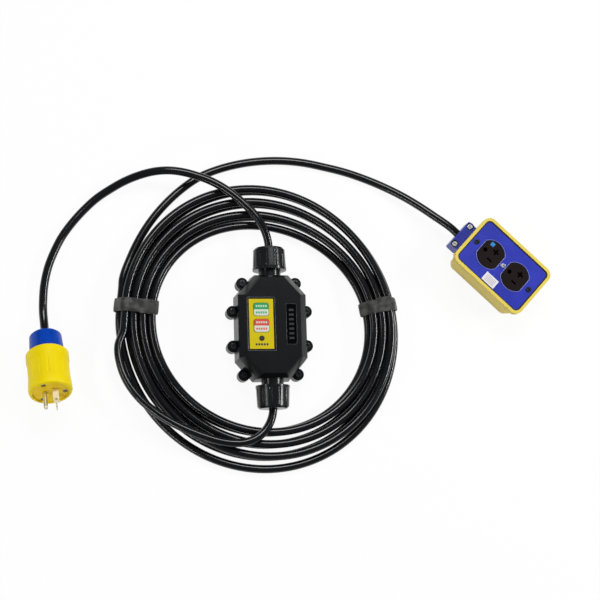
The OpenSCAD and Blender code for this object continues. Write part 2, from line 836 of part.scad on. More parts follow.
module plug_clamp_nut() {
    thread_r = plug_neck_r + fit_gap;
    color(nut_blue) place_plug() difference() {
        rotate_extrude() polygon([
            [mouth_r, 0], [nut_rear_r - nut_chamfer, 0], [nut_rear_r, nut_chamfer],
            [clamp_nut_d / 2, clamp_nut_l], [thread_r, clamp_nut_l], [thread_r, neck_z - 4.5],
            [mouth_r, neck_z - 4.5]
        ]);
        for (k = [0 : 7])
            rotate([0, 0, 45 * k + 22.5])
                translate([clamp_nut_d / 2 + 5, 0, nut_chamfer + 1])
                    cylinder(r = 6, h = clamp_nut_l - 4.5, $fn = 40);
    }
}

module plug_grommet() {
    color(rubber) place_plug() rotate_extrude() polygon([
        [core_r, cord_stop_in], [mouth_r - fit_gap, cord_stop_in],
        [mouth_r - fit_gap, neck_z - 4.5], [plug_neck_r - 1, neck_z - 4.5],
        [plug_neck_r - 1, neck_z], [core_r, neck_z]
    ]);
}

module hot_blade() {
    color(brass) place_plug()
        translate([blades_x - blade_w / 2, blade_pitch / 2 - blade_t / 2, face_z - face_t - tail_l])
            difference() {
                cube([blade_w, blade_t, blade_l + face_t + tail_l]);
                translate([blade_w / 2, -1, blade_l + face_t + tail_l - blade_w / 2 - 1.8])
                    rotate([-90, 0, 0]) cylinder(r = 1.4, h = 4);
            }
}

module neutral_blade() {
    color(brass) place_plug()
        translate([blades_x - blade_t / 2, -blade_pitch / 2 - blade_w / 2, face_z - face_t - tail_l])
            difference() {
                cube([blade_t, blade_w, blade_l + face_t + tail_l]);
                translate([-1, blade_w / 2, blade_l + face_t + tail_l - blade_w / 2 - 1.8])
                    rotate([0, 90, 0]) cylinder(r = 1.4, h = 4);
            }
}

module ground_pin() {
    color(brass) place_plug()
        translate([blades_x - ground_offset, 0, face_z]) {
            translate([0, 0, -face_t - tail_l])
                cylinder(d = ground_shank_d, h = face_t + tail_l + pin_step);
            translate([0, 0, pin_step]) cylinder(d = ground_d, h = ground_l - ground_d / 2 - pin_step);
            translate([0, 0, ground_l - ground_d / 2]) sphere(d = ground_d);
        }
}

module plug_face_screws() {
    color(steel) place_plug() at_face_screws() {
        translate([0, 0, face_z - 2.3]) difference() {
            cylinder(r = 2.7, h = 1.8);
            translate([-3, -0.4, 1]) cube([6, 0.8, 2]);
        }
        translate([0, 0, face_z - face_t - 4]) cylinder(r = 1.5, h = face_t + 2);
    }
}

// Screw clamps on the inner ends of the blades and the ground pin
module plug_terminals() {
    color(steel) place_plug() difference() {
        union() {
            translate([blades_x - 4.5, blade_pitch / 2 - 3, terminal_z])
                cube([9, 7, terminal_depth]);
            translate([blades_x - 3, -blade_pitch / 2 - 4.5, terminal_z])
                cube([7, 9, terminal_depth]);
            translate([blades_x - ground_offset - 4, -4, terminal_z])
                cube([8, 8, terminal_depth]);
        }
        translate([0, 0, -plug_l]) blade_slots(slot_gap);
        blade_slots(slot_gap);
    }
}

// ---------------------------------------------------------------- outlet box
module box_body() {
    color(box_yellow) place_box() difference() {
        union() {
            hull() {
                block(wall_l - 2 * base_draft, wall_w - 2 * base_draft, eps, rim_r - shell_inset);
                translate([0, 0, box_h - rim_h]) block(wall_l, wall_w, eps, rim_r - shell_inset);
            }
            translate([0, 0, box_h - rim_h]) block(box_l, box_w, rim_h, rim_r);
            // upright pad behind the strain relief clamp
            translate([-wall_l / 2, -clamp_l / 2 - 1, entry_z - clamp_low - 1])
                cube([pad_depth, clamp_l + 2, box_h - rim_h - entry_z + clamp_low + 1]);
        }
        difference() {
            union() {
                // room below the ledge and through it
                hull() {
                    translate([0, 0, box_wall])
                        block(
                            wall_l - 2 * box_wall - 2 * base_draft,
                            wall_w - 2 * box_wall - 2 * base_draft, eps, 5
                        );
                    translate([0, 0, ledge_base_z - eps])
                        block(wall_l - 2 * box_wall, wall_w - 2 * box_wall, eps, 5);
                }
                translate([0, 0, ledge_base_z - 1])
                    block(cover_l - 2 * ledge_w, cover_w - 2 * ledge_w, box_h, cover_r - 2);
            }
            // bosses that carry the ears of the yoke
            at_end_screws() translate([0, 0, boss_z]) {
                cylinder(r = boss_r, h = ear_z - boss_z);
                translate([0, -boss_r, 0]) cube([boss_reach, 2 * boss_r, ear_z - boss_z]);
            }
        }
        at_end_screws() translate([0, 0, boss_z + 1]) cylinder(r = end_screw_r + slot_gap, h = box_h);
        translate([0, 0, ear_z]) linear_extrude(box_h)
            square([yoke_l + 2 * slot_gap, yoke_w + 2 * seat_gap], center = true);
        translate([0, 0, ledge_z])
            block(cover_l + 2 * cover_gap, cover_w + 2 * cover_gap, box_h, cover_r);
        // cord entry
        translate([clamp_u0 - 5, 0, entry_z])
            rotate([0, 90, 0]) cylinder(r = grommet_r + slot_gap, h = 12);
    }
}

module at_end_screws() {
    for (a = [0, 180])
        rotate([0, 0, a]) translate([end_screw_pitch / 2, 0, 0]) children();
}

module receptacle_outline() {
    for (s = [-1, 1])
        translate([s * face_pitch / 2, 0]) intersection() {
            circle(d = face_d);
            square([face_flats, face_d + 2], center = true);
        }
}

module box_cover() {
    color(royal_blue) place_box() difference() {
        translate([0, 0, cover_z]) block(cover_l, cover_w, cover_t, cover_r - cover_gap);
        translate([0, 0, cover_z - 1]) linear_extrude(cover_t + 2)
            for (s = [-1, 1])
                translate([s * face_pitch / 2, 0]) intersection() {
                    circle(d = face_d + 2 * seat_gap);
                    square([face_flats + 2 * seat_gap, face_d + 2], center = true);
                }
        at_end_screws() cylinder(r = end_screw_r + fit_gap, h = box_h);
        cylinder(r = centre_screw_r + fit_gap, h = box_h);
        translate([0, -wall_w / 2 + 9.5, cover_top - 0.3])
            linear_extrude(1) square([18.8, 12.1], center = true);
    }
}

module box_gasket() {
    color(rubber) place_box() translate([0, 0, ledge_z]) linear_extrude(box_gasket_t)
        difference() {
            rounded_rect(cover_l, cover_w, cover_r - cover_gap);
            rounded_rect(cover_l - 2 * ledge_w, cover_w - 2 * ledge_w, cover_r - 2);
            at_end_screws() circle(r = end_screw_r + seat_gap);
        }
}

module outlet_slots() {
    for (s = [-1, 1])
        translate([s * face_pitch / 2, 0, 0]) {
            for (cut = [[-1, hot_slot], [1, neutral_slot], [1, cross_slot]])
                translate([slots_u, cut[0] * blade_pitch / 2, plate_z - 1]) linear_extrude(box_h)
                    square(cut[1], center = true);
            translate([ground_u, 0, plate_z - 1]) cylinder(r = ground_hole_r, h = box_h);
        }
}

module receptacle_face() {
    color(dark_brown) place_box() difference() {
        union() {
            translate([0, 0, plate_z]) linear_extrude(face_plate_t)
                square([recept_l, recept_w], center = true);
            translate([0, 0, plate_z]) linear_extrude(face_top - plate_z) receptacle_outline();
        }
        outlet_slots();
        cylinder(r = centre_screw_r + fit_gap, h = box_h);
    }
}

module receptacle_base() {
    color(dark_brown) place_box() difference() {
        translate([0, 0, recept_z]) linear_extrude(plate_z - recept_z)
            square([recept_l, recept_w], center = true);
        for (s = [-1, 1])
            translate([0, s * blade_pitch / 2, channel_z]) linear_extrude(box_h)
                square([recept_l - 6, contact_w + 2 * slot_gap], center = true);
        for (s = [-1, 1])
            translate([s * face_pitch / 2 + ground_u, 0, channel_z])
                cylinder(r = ground_clip_r + slot_gap, h = box_h);
        translate([0, 0, recept_z + 5]) cylinder(r = centre_screw_r + slot_gap, h = box_h);
    }
}

module receptacle_yoke() {
    strap_u = recept_l / 2 + slot_gap;
    strap_z = recept_z - yoke_t - slot_gap;
    color(steel) place_box() difference() {
        union() {
            translate([0, 0, strap_z]) linear_extrude(yoke_t)
                square([2 * (strap_u + yoke_t), yoke_w], center = true);
            for (s = [-1, 1]) {
                translate([s * (strap_u + yoke_t / 2), 0, strap_z]) linear_extrude(plate_top - strap_z)
                    square([yoke_t, yoke_w], center = true);
                translate([s * (strap_u + yoke_l / 2) / 2, 0, ear_z]) linear_extrude(yoke_t)
                    square([yoke_l / 2 - strap_u, yoke_w], center = true);
            }
        }
        at_end_screws() cylinder(r = end_screw_r + fit_gap, h = box_h);
    }
}

// Spring leaves that grip a blade under each slot, standing on one bus strip
module contact_strip(v) {
    translate([0, v, channel_z]) linear_extrude(leaf_t)
        square([recept_l - 7, contact_w], center = true);
}

module leaf_pair(v, u, l) {
    for (s = [-1, 1], e = [-1, 1])
        translate([s * face_pitch / 2 + slots_u + u, v + e * (blade_t + leaf_t) / 2, channel_z])
            linear_extrude(leaf_h) square([l, leaf_t], center = true);
}

module hot_contacts() {
    color(brass) place_box() {
        contact_strip(-blade_pitch / 2);
        leaf_pair(-blade_pitch / 2, 0, blade_w);
    }
}

// The neutral contacts also take a blade turned across the slot
module neutral_contacts() {
    color(steel) place_box() {
        contact_strip(blade_pitch / 2);
        for (e = [-1, 1]) leaf_pair(blade_pitch / 2, 2.9 * e, 2.4);
        for (s = [-1, 1], e = [-1, 1], f = [-1, 1])
            translate([
                s * face_pitch / 2 + slots_u + e * (blade_t + leaf_t) / 2,
                blade_pitch / 2 + 2.1 * f, channel_z
            ])
                linear_extrude(leaf_h) square([leaf_t, 1.4], center = true);
    }
}

module ground_contacts() {
    color(brass) place_box() for (s = [-1, 1])
        translate([s * face_pitch / 2 + ground_u, 0, channel_z]) difference() {
            cylinder(r = ground_clip_r, h = 10);
            translate([0, 0, 1]) cylinder(r = ground_hole_r, h = 20);
        }
}

module end_screws() {
    color(rubber) place_box() at_end_screws() {
        translate([0, 0, cover_top]) difference() {
            cylinder(r = 3, h = 1.4);
            translate([-4, -0.4, 0.7]) cube([8, 0.8, 2]);
        }
        translate([0, 0, boss_z + 1]) cylinder(r = end_screw_r, h = cover_top - boss_z - 1);
    }
}

module centre_screw() {
    color(steel) place_box() {
        translate([0, 0, cover_top]) difference() {
            cylinder(r = 2.9, h = 1.4);
            translate([-4, -0.4, 0.7]) cube([8, 0.8, 2]);
        }
        translate([0, 0, recept_z + 6])
            cylinder(r = centre_screw_r, h = cover_top - recept_z - 6);
    }
}

module box_label() {
    color([0.96, 0.95, 0.97]) place_box() translate([0, -wall_w / 2 + 9.5, cover_top - 0.3])
        linear_extrude(0.4) square([18.4, 11.7], center = true);
}

module outlet_mark() {
    color([0.14, 0.50, 0.75]) place_box()
        translate([-face_pitch / 2 - 6, 11, face_top]) linear_extrude(0.2)
            square([5, 5], center = true);
}

module clamp_bore() {
    translate([clamp_u1 - 1, 0, entry_z]) rotate([0, 90, 0]) cylinder(r = cord_r + 0.35, h = 6);
    translate([box_cord_u, 0, entry_z])
        rotate([0, 90, 0]) cylinder(r = grommet_r + slot_gap, h = clamp_depth);
}

module at_clamp_screws() {
    for (s = [-1, 1])
        translate([(clamp_u0 + clamp_u1) / 2 - 1.5, s * clamp_screw_v, 0]) children();
}

module strain_relief_base() {
    color(royal_blue) place_box() difference() {
        translate([(clamp_u0 + clamp_u1) / 2, 0, entry_z - clamp_low])
            block(clamp_depth, clamp_l, clamp_low, 2);
        clamp_bore();
        at_clamp_screws() cylinder(r = 1.7, h = entry_z + 1);
    }
}

module strain_relief_cap() {
    color(royal_blue) place_box() difference() {
        translate([(clamp_u0 + clamp_u1) / 2, 0, entry_z])
            block(clamp_depth, clamp_l, clamp_high, 2);
        clamp_bore();
        at_clamp_screws() {
            cylinder(r = 1.9, h = box_h);
            translate([0, 0, entry_z + clamp_high - 2.6]) cylinder(r = 3.65, h = 4);
        }
    }
}

module strain_relief_screws() {
    color(steel) place_box() at_clamp_screws() {
        translate([0, 0, entry_z + clamp_high - 2.6]) difference() {
            cylinder(r = 3.2, h = 2);
            translate([-4, -0.4, 1.2]) cube([8, 0.8, 2]);
        }
        translate([0, 0, entry_z - clamp_low + 1]) cylinder(r = 1.6, h = clamp_low + clamp_high - 3.6);
    }
}

module box_grommet() {
    color(rubber) place_box() translate([box_cord_u, 0, entry_z]) rotate([0, 90, 0]) difference() {
        cylinder(r = grommet_r, h = grommet_l);
        translate([0, 0, -1]) cylinder(r = core_r, h = grommet_l + 2);
    }
}

// ---------------------------------------------------------------- cord and straps
module lead_cord() {
    color(black_cord) cord_tube(lead_route, [0, 1, 0], plug_axis, 10);
}

module feed_cord() {
    color(black_cord) cord_tube(feed_route, [0, -1, 0], coil_start_dir, 10);
}

module coiled_cord() {
    color(black_cord) cord_tube(coil_route, coil_start_dir, coil_finish_dir, coil_sides);
}

module tail_cord() {
    color(black_cord) cord_tube(tail_route, coil_finish_dir, box_u, 10);
}

// A closed band round the turns that pass between ring `first` and the ring after it,
// with its loose tail to the inside (tail_side 1) or the outside (-1) of the coil
module strap(first, tail_side) {
    band_r = cord_r + strap_clear + strap_t;
    crossings = [
        for (i = [first : rings_per_turn : last_ring - 1]) (coil_route[i] + coil_route[i + 1]) / 2
    ];
    origin = crossings[1];
    along = unit([for (k = [0 : 1]) coil_route[first + 1][k] - coil_route[first][k]]);
    side = [-along[1], along[0], 0];
    places = [for (c = crossings) [(c - origin) * side, c[2]]];
    reach = [for (p = places) p[1] - tail_side * p[0]];
    corner = places[search(max(reach), reach)[0]];
    translate([origin[0], origin[1], 0])
        rotate([90, 0, atan2(along[0], -along[1])])
            translate([0, 0, -strap_w / 2]) {
                linear_extrude(strap_w) difference() {
                    union() {
                        hull() for (p = places) translate(p) circle(r = band_r, $fn = 32);
                        translate(corner + [-tail_side * strap_tail / 2, band_r - strap_t / 2])
                            square([strap_tail, strap_t], center = true);
                    }
                    hull() for (p = places)
                        translate(p) circle(r = cord_r + strap_clear, $fn = 32);
                }
            }
}

module left_strap() {
    color(strap_grey) strap(0, 1);
}

module right_strap() {
    color(strap_grey) strap(half_turn - 1, -1);
}

unit_rear_shell();
unit_front_shell();
unit_gasket();
unit_case_screws();
label_plate();
reset_button();
test_button();
reset_spring();
test_spring();
led_lens();
led_bezel();
circuit_board();
board_screws();
button_switches();
current_sensor();
trip_solenoid();
trip_plunger();
contact_carriage();
line_terminals();
load_terminals();
north_gland_body();
north_gland_nut();
north_gland_seal();
south_gland_body();
south_gland_nut();
south_gland_seal();
plug_shell();
plug_face();
plug_clamp_nut();
plug_grommet();
hot_blade();
neutral_blade();
ground_pin();
plug_face_screws();
plug_terminals();
box_body();
box_cover();
box_gasket();
receptacle_face();
receptacle_base();
receptacle_yoke();
hot_contacts();
neutral_contacts();
ground_contacts();
end_screws();
centre_screw();
box_label();
outlet_mark();
strain_relief_base();
strain_relief_cap();
strain_relief_screws();
box_grommet();
lead_cord();
feed_cord();
coiled_cord();
tail_cord();
left_strap();
right_strap();
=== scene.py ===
"""Shore power cord: the dressed model of a coiled cord with its plug, ground-fault unit and
outlet box."""

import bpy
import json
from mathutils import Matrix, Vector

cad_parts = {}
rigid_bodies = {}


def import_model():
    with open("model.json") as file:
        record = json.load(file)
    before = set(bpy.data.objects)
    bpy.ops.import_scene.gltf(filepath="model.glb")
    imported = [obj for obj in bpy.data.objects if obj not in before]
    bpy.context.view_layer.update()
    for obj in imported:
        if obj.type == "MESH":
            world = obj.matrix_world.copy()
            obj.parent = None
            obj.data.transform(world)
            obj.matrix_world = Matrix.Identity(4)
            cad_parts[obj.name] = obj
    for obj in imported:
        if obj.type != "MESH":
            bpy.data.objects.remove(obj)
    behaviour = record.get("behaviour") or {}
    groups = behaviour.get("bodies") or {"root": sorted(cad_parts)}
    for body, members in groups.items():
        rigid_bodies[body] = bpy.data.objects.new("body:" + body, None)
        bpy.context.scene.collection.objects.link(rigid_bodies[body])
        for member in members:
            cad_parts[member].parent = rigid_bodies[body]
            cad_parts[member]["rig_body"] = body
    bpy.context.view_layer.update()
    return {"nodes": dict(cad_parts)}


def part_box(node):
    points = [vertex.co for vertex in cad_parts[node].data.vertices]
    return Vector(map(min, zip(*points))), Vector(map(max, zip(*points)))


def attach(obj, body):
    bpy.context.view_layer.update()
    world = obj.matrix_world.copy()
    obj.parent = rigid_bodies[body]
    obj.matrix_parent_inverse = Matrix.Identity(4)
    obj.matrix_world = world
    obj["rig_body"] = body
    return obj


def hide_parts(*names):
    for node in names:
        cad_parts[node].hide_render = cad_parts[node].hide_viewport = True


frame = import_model()

import json
import math

import bmesh
import bpy
from mathutils import Matrix, Vector

bl_info = {
    "name": "Shore Power Cord",
    "version": (1, 0, 0),
    "blender": (4, 5, 0),
    "location": "View3D > Sidebar > Shore Cord",
    "description": "Dresses the solids of a shore power cord with edges, cords and finishes",
    "category": "Object",
}

MM = 0.001
ROOT = "cord_set"


def linear(code):
    """A '#rrggbb' colour as the linear red, green, blue that Blender stores."""
    parts = [int(code[k : k + 2], 16) / 255 for k in (1, 3, 5)]
    return tuple(p / 12.92 if p <= 0.04045 else ((p + 0.055) / 1.055) ** 2.4 for p in parts)


def shade(colour, gain):
    """The same colour, lighter or darker, with alpha."""
    return (*(min(1.0, c * gain) for c in colour), 1.0)


# ---------------------------- sizes and colours


def length(name, words, default):
    """A length in metres that the panel shows and the user can change."""
    return bpy.props.FloatProperty(
        name=name, description=words, default=default, min=0.0, subtype="DISTANCE",
        unit="LENGTH", precision=4,
    )


def tint(name, words, code):
    """A colour, given as '#rrggbb', that the panel shows and the user can change."""
    return bpy.props.FloatVectorProperty(
        name=name, description=words, default=linear(code), min=0, max=1, size=3,
        subtype="COLOR",
    )


class ShoreCordSizes(bpy.types.PropertyGroup):
    """Sizes of the cord and its two straps."""

    cord_d: length("Cord diameter", "Outer diameter of the three-core cord", 0.0096)
    cord_sides: bpy.props.IntProperty(
        name="Cord sides", description="Faces round the cord", default=16, min=8
    )
    cord_steps: bpy.props.IntProperty(
        name="Cord steps", description="Rings between two points of the route", default=6, min=2
    )
    strap_w: length("Strap width", "Width of a strap along the cord", 0.0155)
    strap_t: length("Strap thickness", "Thickness of a strap", 0.0022)
    strap_clear: length("Strap clearance", "Free gap between a strap and its turns", 0.0006)
    strap_tail: length("Strap tail", "Length of the loose tail of a strap", 0.006)


class ShoreCordEdges(bpy.types.PropertyGroup):
    """Roundings of the moulded and stamped edges."""

    case: length("Case edge", "Rounding of the ground-fault unit's shells", 0.0009)
    nut: length("Nut edge", "Rounding of the gland and clamp nuts", 0.0005)
    plug: length("Plug edge", "Rounding of the plug's body", 0.0008)
    box: length("Box edge", "Rounding of the outlet box", 0.0011)
    cover: length("Cover edge", "Rounding of the cover and the clamp", 0.0006)
    fine: length("Fine edge", "Rounding of blades, buttons and screws", 0.0003)


class ShoreCordColours(bpy.types.PropertyGroup):
    """Colours of the finishes."""

    case: tint("Case", "Glossy black shells of the ground-fault unit", "#151617")
    nut: tint("Gland nuts", "Satin black nylon", "#0f1012")
    cord: tint("Cord", "Black vinyl jacket", "#0d0d0f")
    strap: tint("Straps", "Dark grey woven straps", "#3a3a38")
    label: tint("Label", "Yellow label plate", "#cdb900")
    reset: tint("Reset", "Green print of the reset button", "#1f9a58")
    test: tint("Test", "Red print of the test button", "#d8463c")
    pale: tint("Button base", "Pale print on the buttons", "#d5dccf")
    plug: tint("Plug", "Bright yellow plug body", "#ecd300")
    plug_face: tint("Plug face", "Deeper yellow face of the plug", "#f2cc10")
    plug_nut: tint("Plug nut", "Blue clamp nut of the plug", "#043a9c")
    box: tint("Box", "Pale yellow outlet box", "#cdb742")
    cover: tint("Cover", "Royal blue cover and clamp", "#1e2890")
    outlet: tint("Outlet", "Dark brown receptacle", "#130908")
    mark: tint("Mark", "Light blue painted square", "#226fa8")
    brass: tint("Blades", "Nickel-brass of the blades", "#e2d9bd")
    steel: tint("Steel", "Bright zinc-plated steel", "#c9cacc")


# ---------------------------- material building


def add(tree, kind, inputs=None, **settings):
    """Adds a node, sets its properties, and feeds its inputs."""
    node = tree.nodes.new(kind)
    for key, value in settings.items():
        setattr(node, key, value)
    feed(tree, node, inputs or {})
    return node


def feed(tree, node, inputs):
    """Gives each named input of a node a value or a link."""
    for key, value in inputs.items():
        if isinstance(value, bpy.types.NodeSocket):
            tree.links.new(value, node.inputs[key])
        else:
            node.inputs[key].default_value = value


def calculate(tree, operation, *values):
    """The result of one operation on values or links."""
    return add(tree, "ShaderNodeMath", dict(enumerate(values)), operation=operation).outputs[0]


def remap(tree, value, low, high):
    """Spreads a 0 to 1 value between two numbers."""
    return add(
        tree, "ShaderNodeMapRange", {"Value": value, "To Min": low, "To Max": high}
    ).outputs["Result"]


def noise(tree, place, size, detail, **more):
    """Cloudy noise whose patches have a size in metres."""
    return add(
        tree, "ShaderNodeTexNoise",
        {"Vector": place, "Scale": 1 / size, "Detail": detail, **more},
    ).outputs["Fac"]


def blend(tree, share, first, second, **settings):
    """Two colours mixed by a share from 0 to 1."""
    inputs = {0: share, 6: first, 7: second}
    return add(tree, "ShaderNodeMix", inputs, data_type="RGBA", **settings).outputs[2]


def bump(tree, height, depth, strength, **under):
    """A surface raised by a 0 to 1 height, with its depth in metres."""
    return add(
        tree, "ShaderNodeBump",
        {"Height": height, "Distance": depth, "Strength": strength, **under},
    ).outputs[0]


def surface(name):
    """An empty material with its main shader joined to the output."""
    mat = bpy.data.materials.new(name)
    mat.use_nodes = True
    tree = mat.node_tree
    tree.nodes.clear()
    skin = add(tree, "ShaderNodeBsdfPrincipled")
    add(tree, "ShaderNodeOutputMaterial", {"Surface": skin.outputs[0]})
    return mat, tree, skin


def moulded(name, colour, rough, grain=0.0012, depth=0.00003, worn=1.5, ior=1.5):
    """Injection-moulded plastic: grain that softens its gloss, gloss that wanders over a few
    centimetres, and edges rubbed to a tone of their own."""
    mat, tree, skin = surface(name)
    place = add(tree, "ShaderNodeTexCoord").outputs["Object"]
    # the grain is drawn about a millimetre wide, coarser than real, so that it shows
    fine = noise(tree, place, grain, 2.0)
    cloud = noise(tree, place, 0.025, 3.0)
    edge = add(tree, "ShaderNodeAttribute", attribute_name="edge").outputs["Fac"]
    body = blend(tree, cloud, shade(colour, 0.93), shade(colour, 1.07))
    rub = calculate(tree, "MULTIPLY", edge, cloud)
    feed(tree, skin, {
        "Base Color": blend(tree, rub, body, shade(colour, worn)),
        "Normal": bump(tree, fine, depth, 0.6),
        "Roughness": remap(tree, cloud, rough - 0.05, rough + 0.05),
        "IOR": ior,
    })
    return mat


def plated(name, colour, rough, scratch):
    """Bare or plated metal: tumbled, with faint marks in every direction that break up its
    gloss. They are drawn coarser than real, so that they show."""
    mat, tree, skin = surface(name)
    place = add(tree, "ShaderNodeTexCoord").outputs["Object"]
    worn = noise(tree, place, scratch, 4.0, Distortion=2.0)
    feed(tree, skin, {
        "Base Color": blend(tree, worn, shade(colour, 0.9), shade(colour, 1.08)),
        "Normal": bump(tree, worn, 0.000004, 0.1),
        "Roughness": remap(tree, worn, rough * 0.7, rough * 1.3),
        "Metallic": 1.0,
    })
    return mat


def vinyl_jacket(colour):
    """Extruded PVC jacket: dark, with a long soft gloss, faint ripples every few millimetres
    where it was pulled from the die, and grain drawn coarser than real, so that it shows."""
    mat, tree, skin = surface("extruded_pvc_jacket")
    place = add(tree, "ShaderNodeTexCoord").outputs["Object"]
    run = add(tree, "ShaderNodeAttribute", attribute_name="along").outputs["Fac"]
    ripple = add(
        tree, "ShaderNodeTexNoise", {"W": run, "Scale": 1 / 0.006}, noise_dimensions="1D"
    ).outputs["Fac"]
    grain = noise(tree, place, 0.0015, 3.0)
    cloud = noise(tree, place, 0.04, 2.0)
    feed(tree, skin, {
        "Base Color": blend(tree, cloud, shade(colour, 0.75), shade(colour, 1.35)),
        "Normal": bump(tree, grain, 0.000008, 0.12, Normal=bump(tree, ripple, 0.00003, 0.1)),
        "Roughness": remap(tree, cloud, 0.13, 0.2),
        "IOR": 1.45,
    })
    return mat


def woven_strap(colour):
    """Woven nylon loop tape: crossing threads, drawn 1.6 mm apart so that they show, matted in
    patches of a centimetre, with a dull sheen."""
    mat, tree, skin = surface("woven_nylon_strap")
    run = add(tree, "ShaderNodeAttribute", attribute_name="run").outputs["Fac"]
    across = add(tree, "ShaderNodeAttribute", attribute_name="across").outputs["Fac"]
    threads = [
        calculate(tree, "SINE", calculate(tree, "MULTIPLY", value, 2 * math.pi / pitch))
        for value, pitch in ((run, 0.0016), (across, 0.0012))
    ]
    weave = remap(tree, calculate(tree, "MULTIPLY", *threads), 0.3, 0.7)
    place = add(tree, "ShaderNodeTexCoord").outputs["Object"]
    pile = calculate(tree, "MULTIPLY", weave, noise(tree, place, 0.0015, 4.0))
    matted = add(tree, "ShaderNodeMapRange", {
        "Value": noise(tree, place, 0.009, 5.0),
        "From Min": 0.35, "From Max": 0.65, "To Min": -0.45, "To Max": 0.95,
    })
    spots = calculate(tree, "ADD", pile, matted.outputs[0])
    dark, pale = shade(colour, 0.3), shade(colour, 1.6)
    feed(tree, skin, {
        "Base Color": blend(tree, spots, dark, pale, clamp_factor=True),
        "Normal": bump(tree, pile, 0.0004, 0.8),
        "Roughness": 0.82,
        "Sheen Weight": 0.2,
    })
    return mat


def two_tone_print(name, top, base, split):
    """Printed keycap: ink on its upper half and a pale half below, under a clear gloss. The
    ink mottles over 2 mm, coarser than real, so that the print looks laid on."""
    mat, tree, skin = surface(name)
    place = add(tree, "ShaderNodeTexCoord").outputs["Object"]
    axes = add(tree, "ShaderNodeSeparateXYZ", {"Vector": place})
    upper = calculate(tree, "GREATER_THAN", axes.outputs["Y"], split)
    ink = noise(tree, place, 0.002, 3.0)
    flat = blend(tree, upper, shade(base, 1.0), shade(top, 1.0))
    speck = ink.node.outputs["Color"]
    feed(tree, skin, {
        "Base Color": blend(tree, 0.25, flat, speck, blend_type="MULTIPLY"),
        "Normal": bump(tree, ink, 0.00003, 0.4),
        "Roughness": 0.28,
    })
    return mat


RESET_SPLIT, TEST_SPLIT = 0.0176, -0.0011   # y where each button's inked half begins


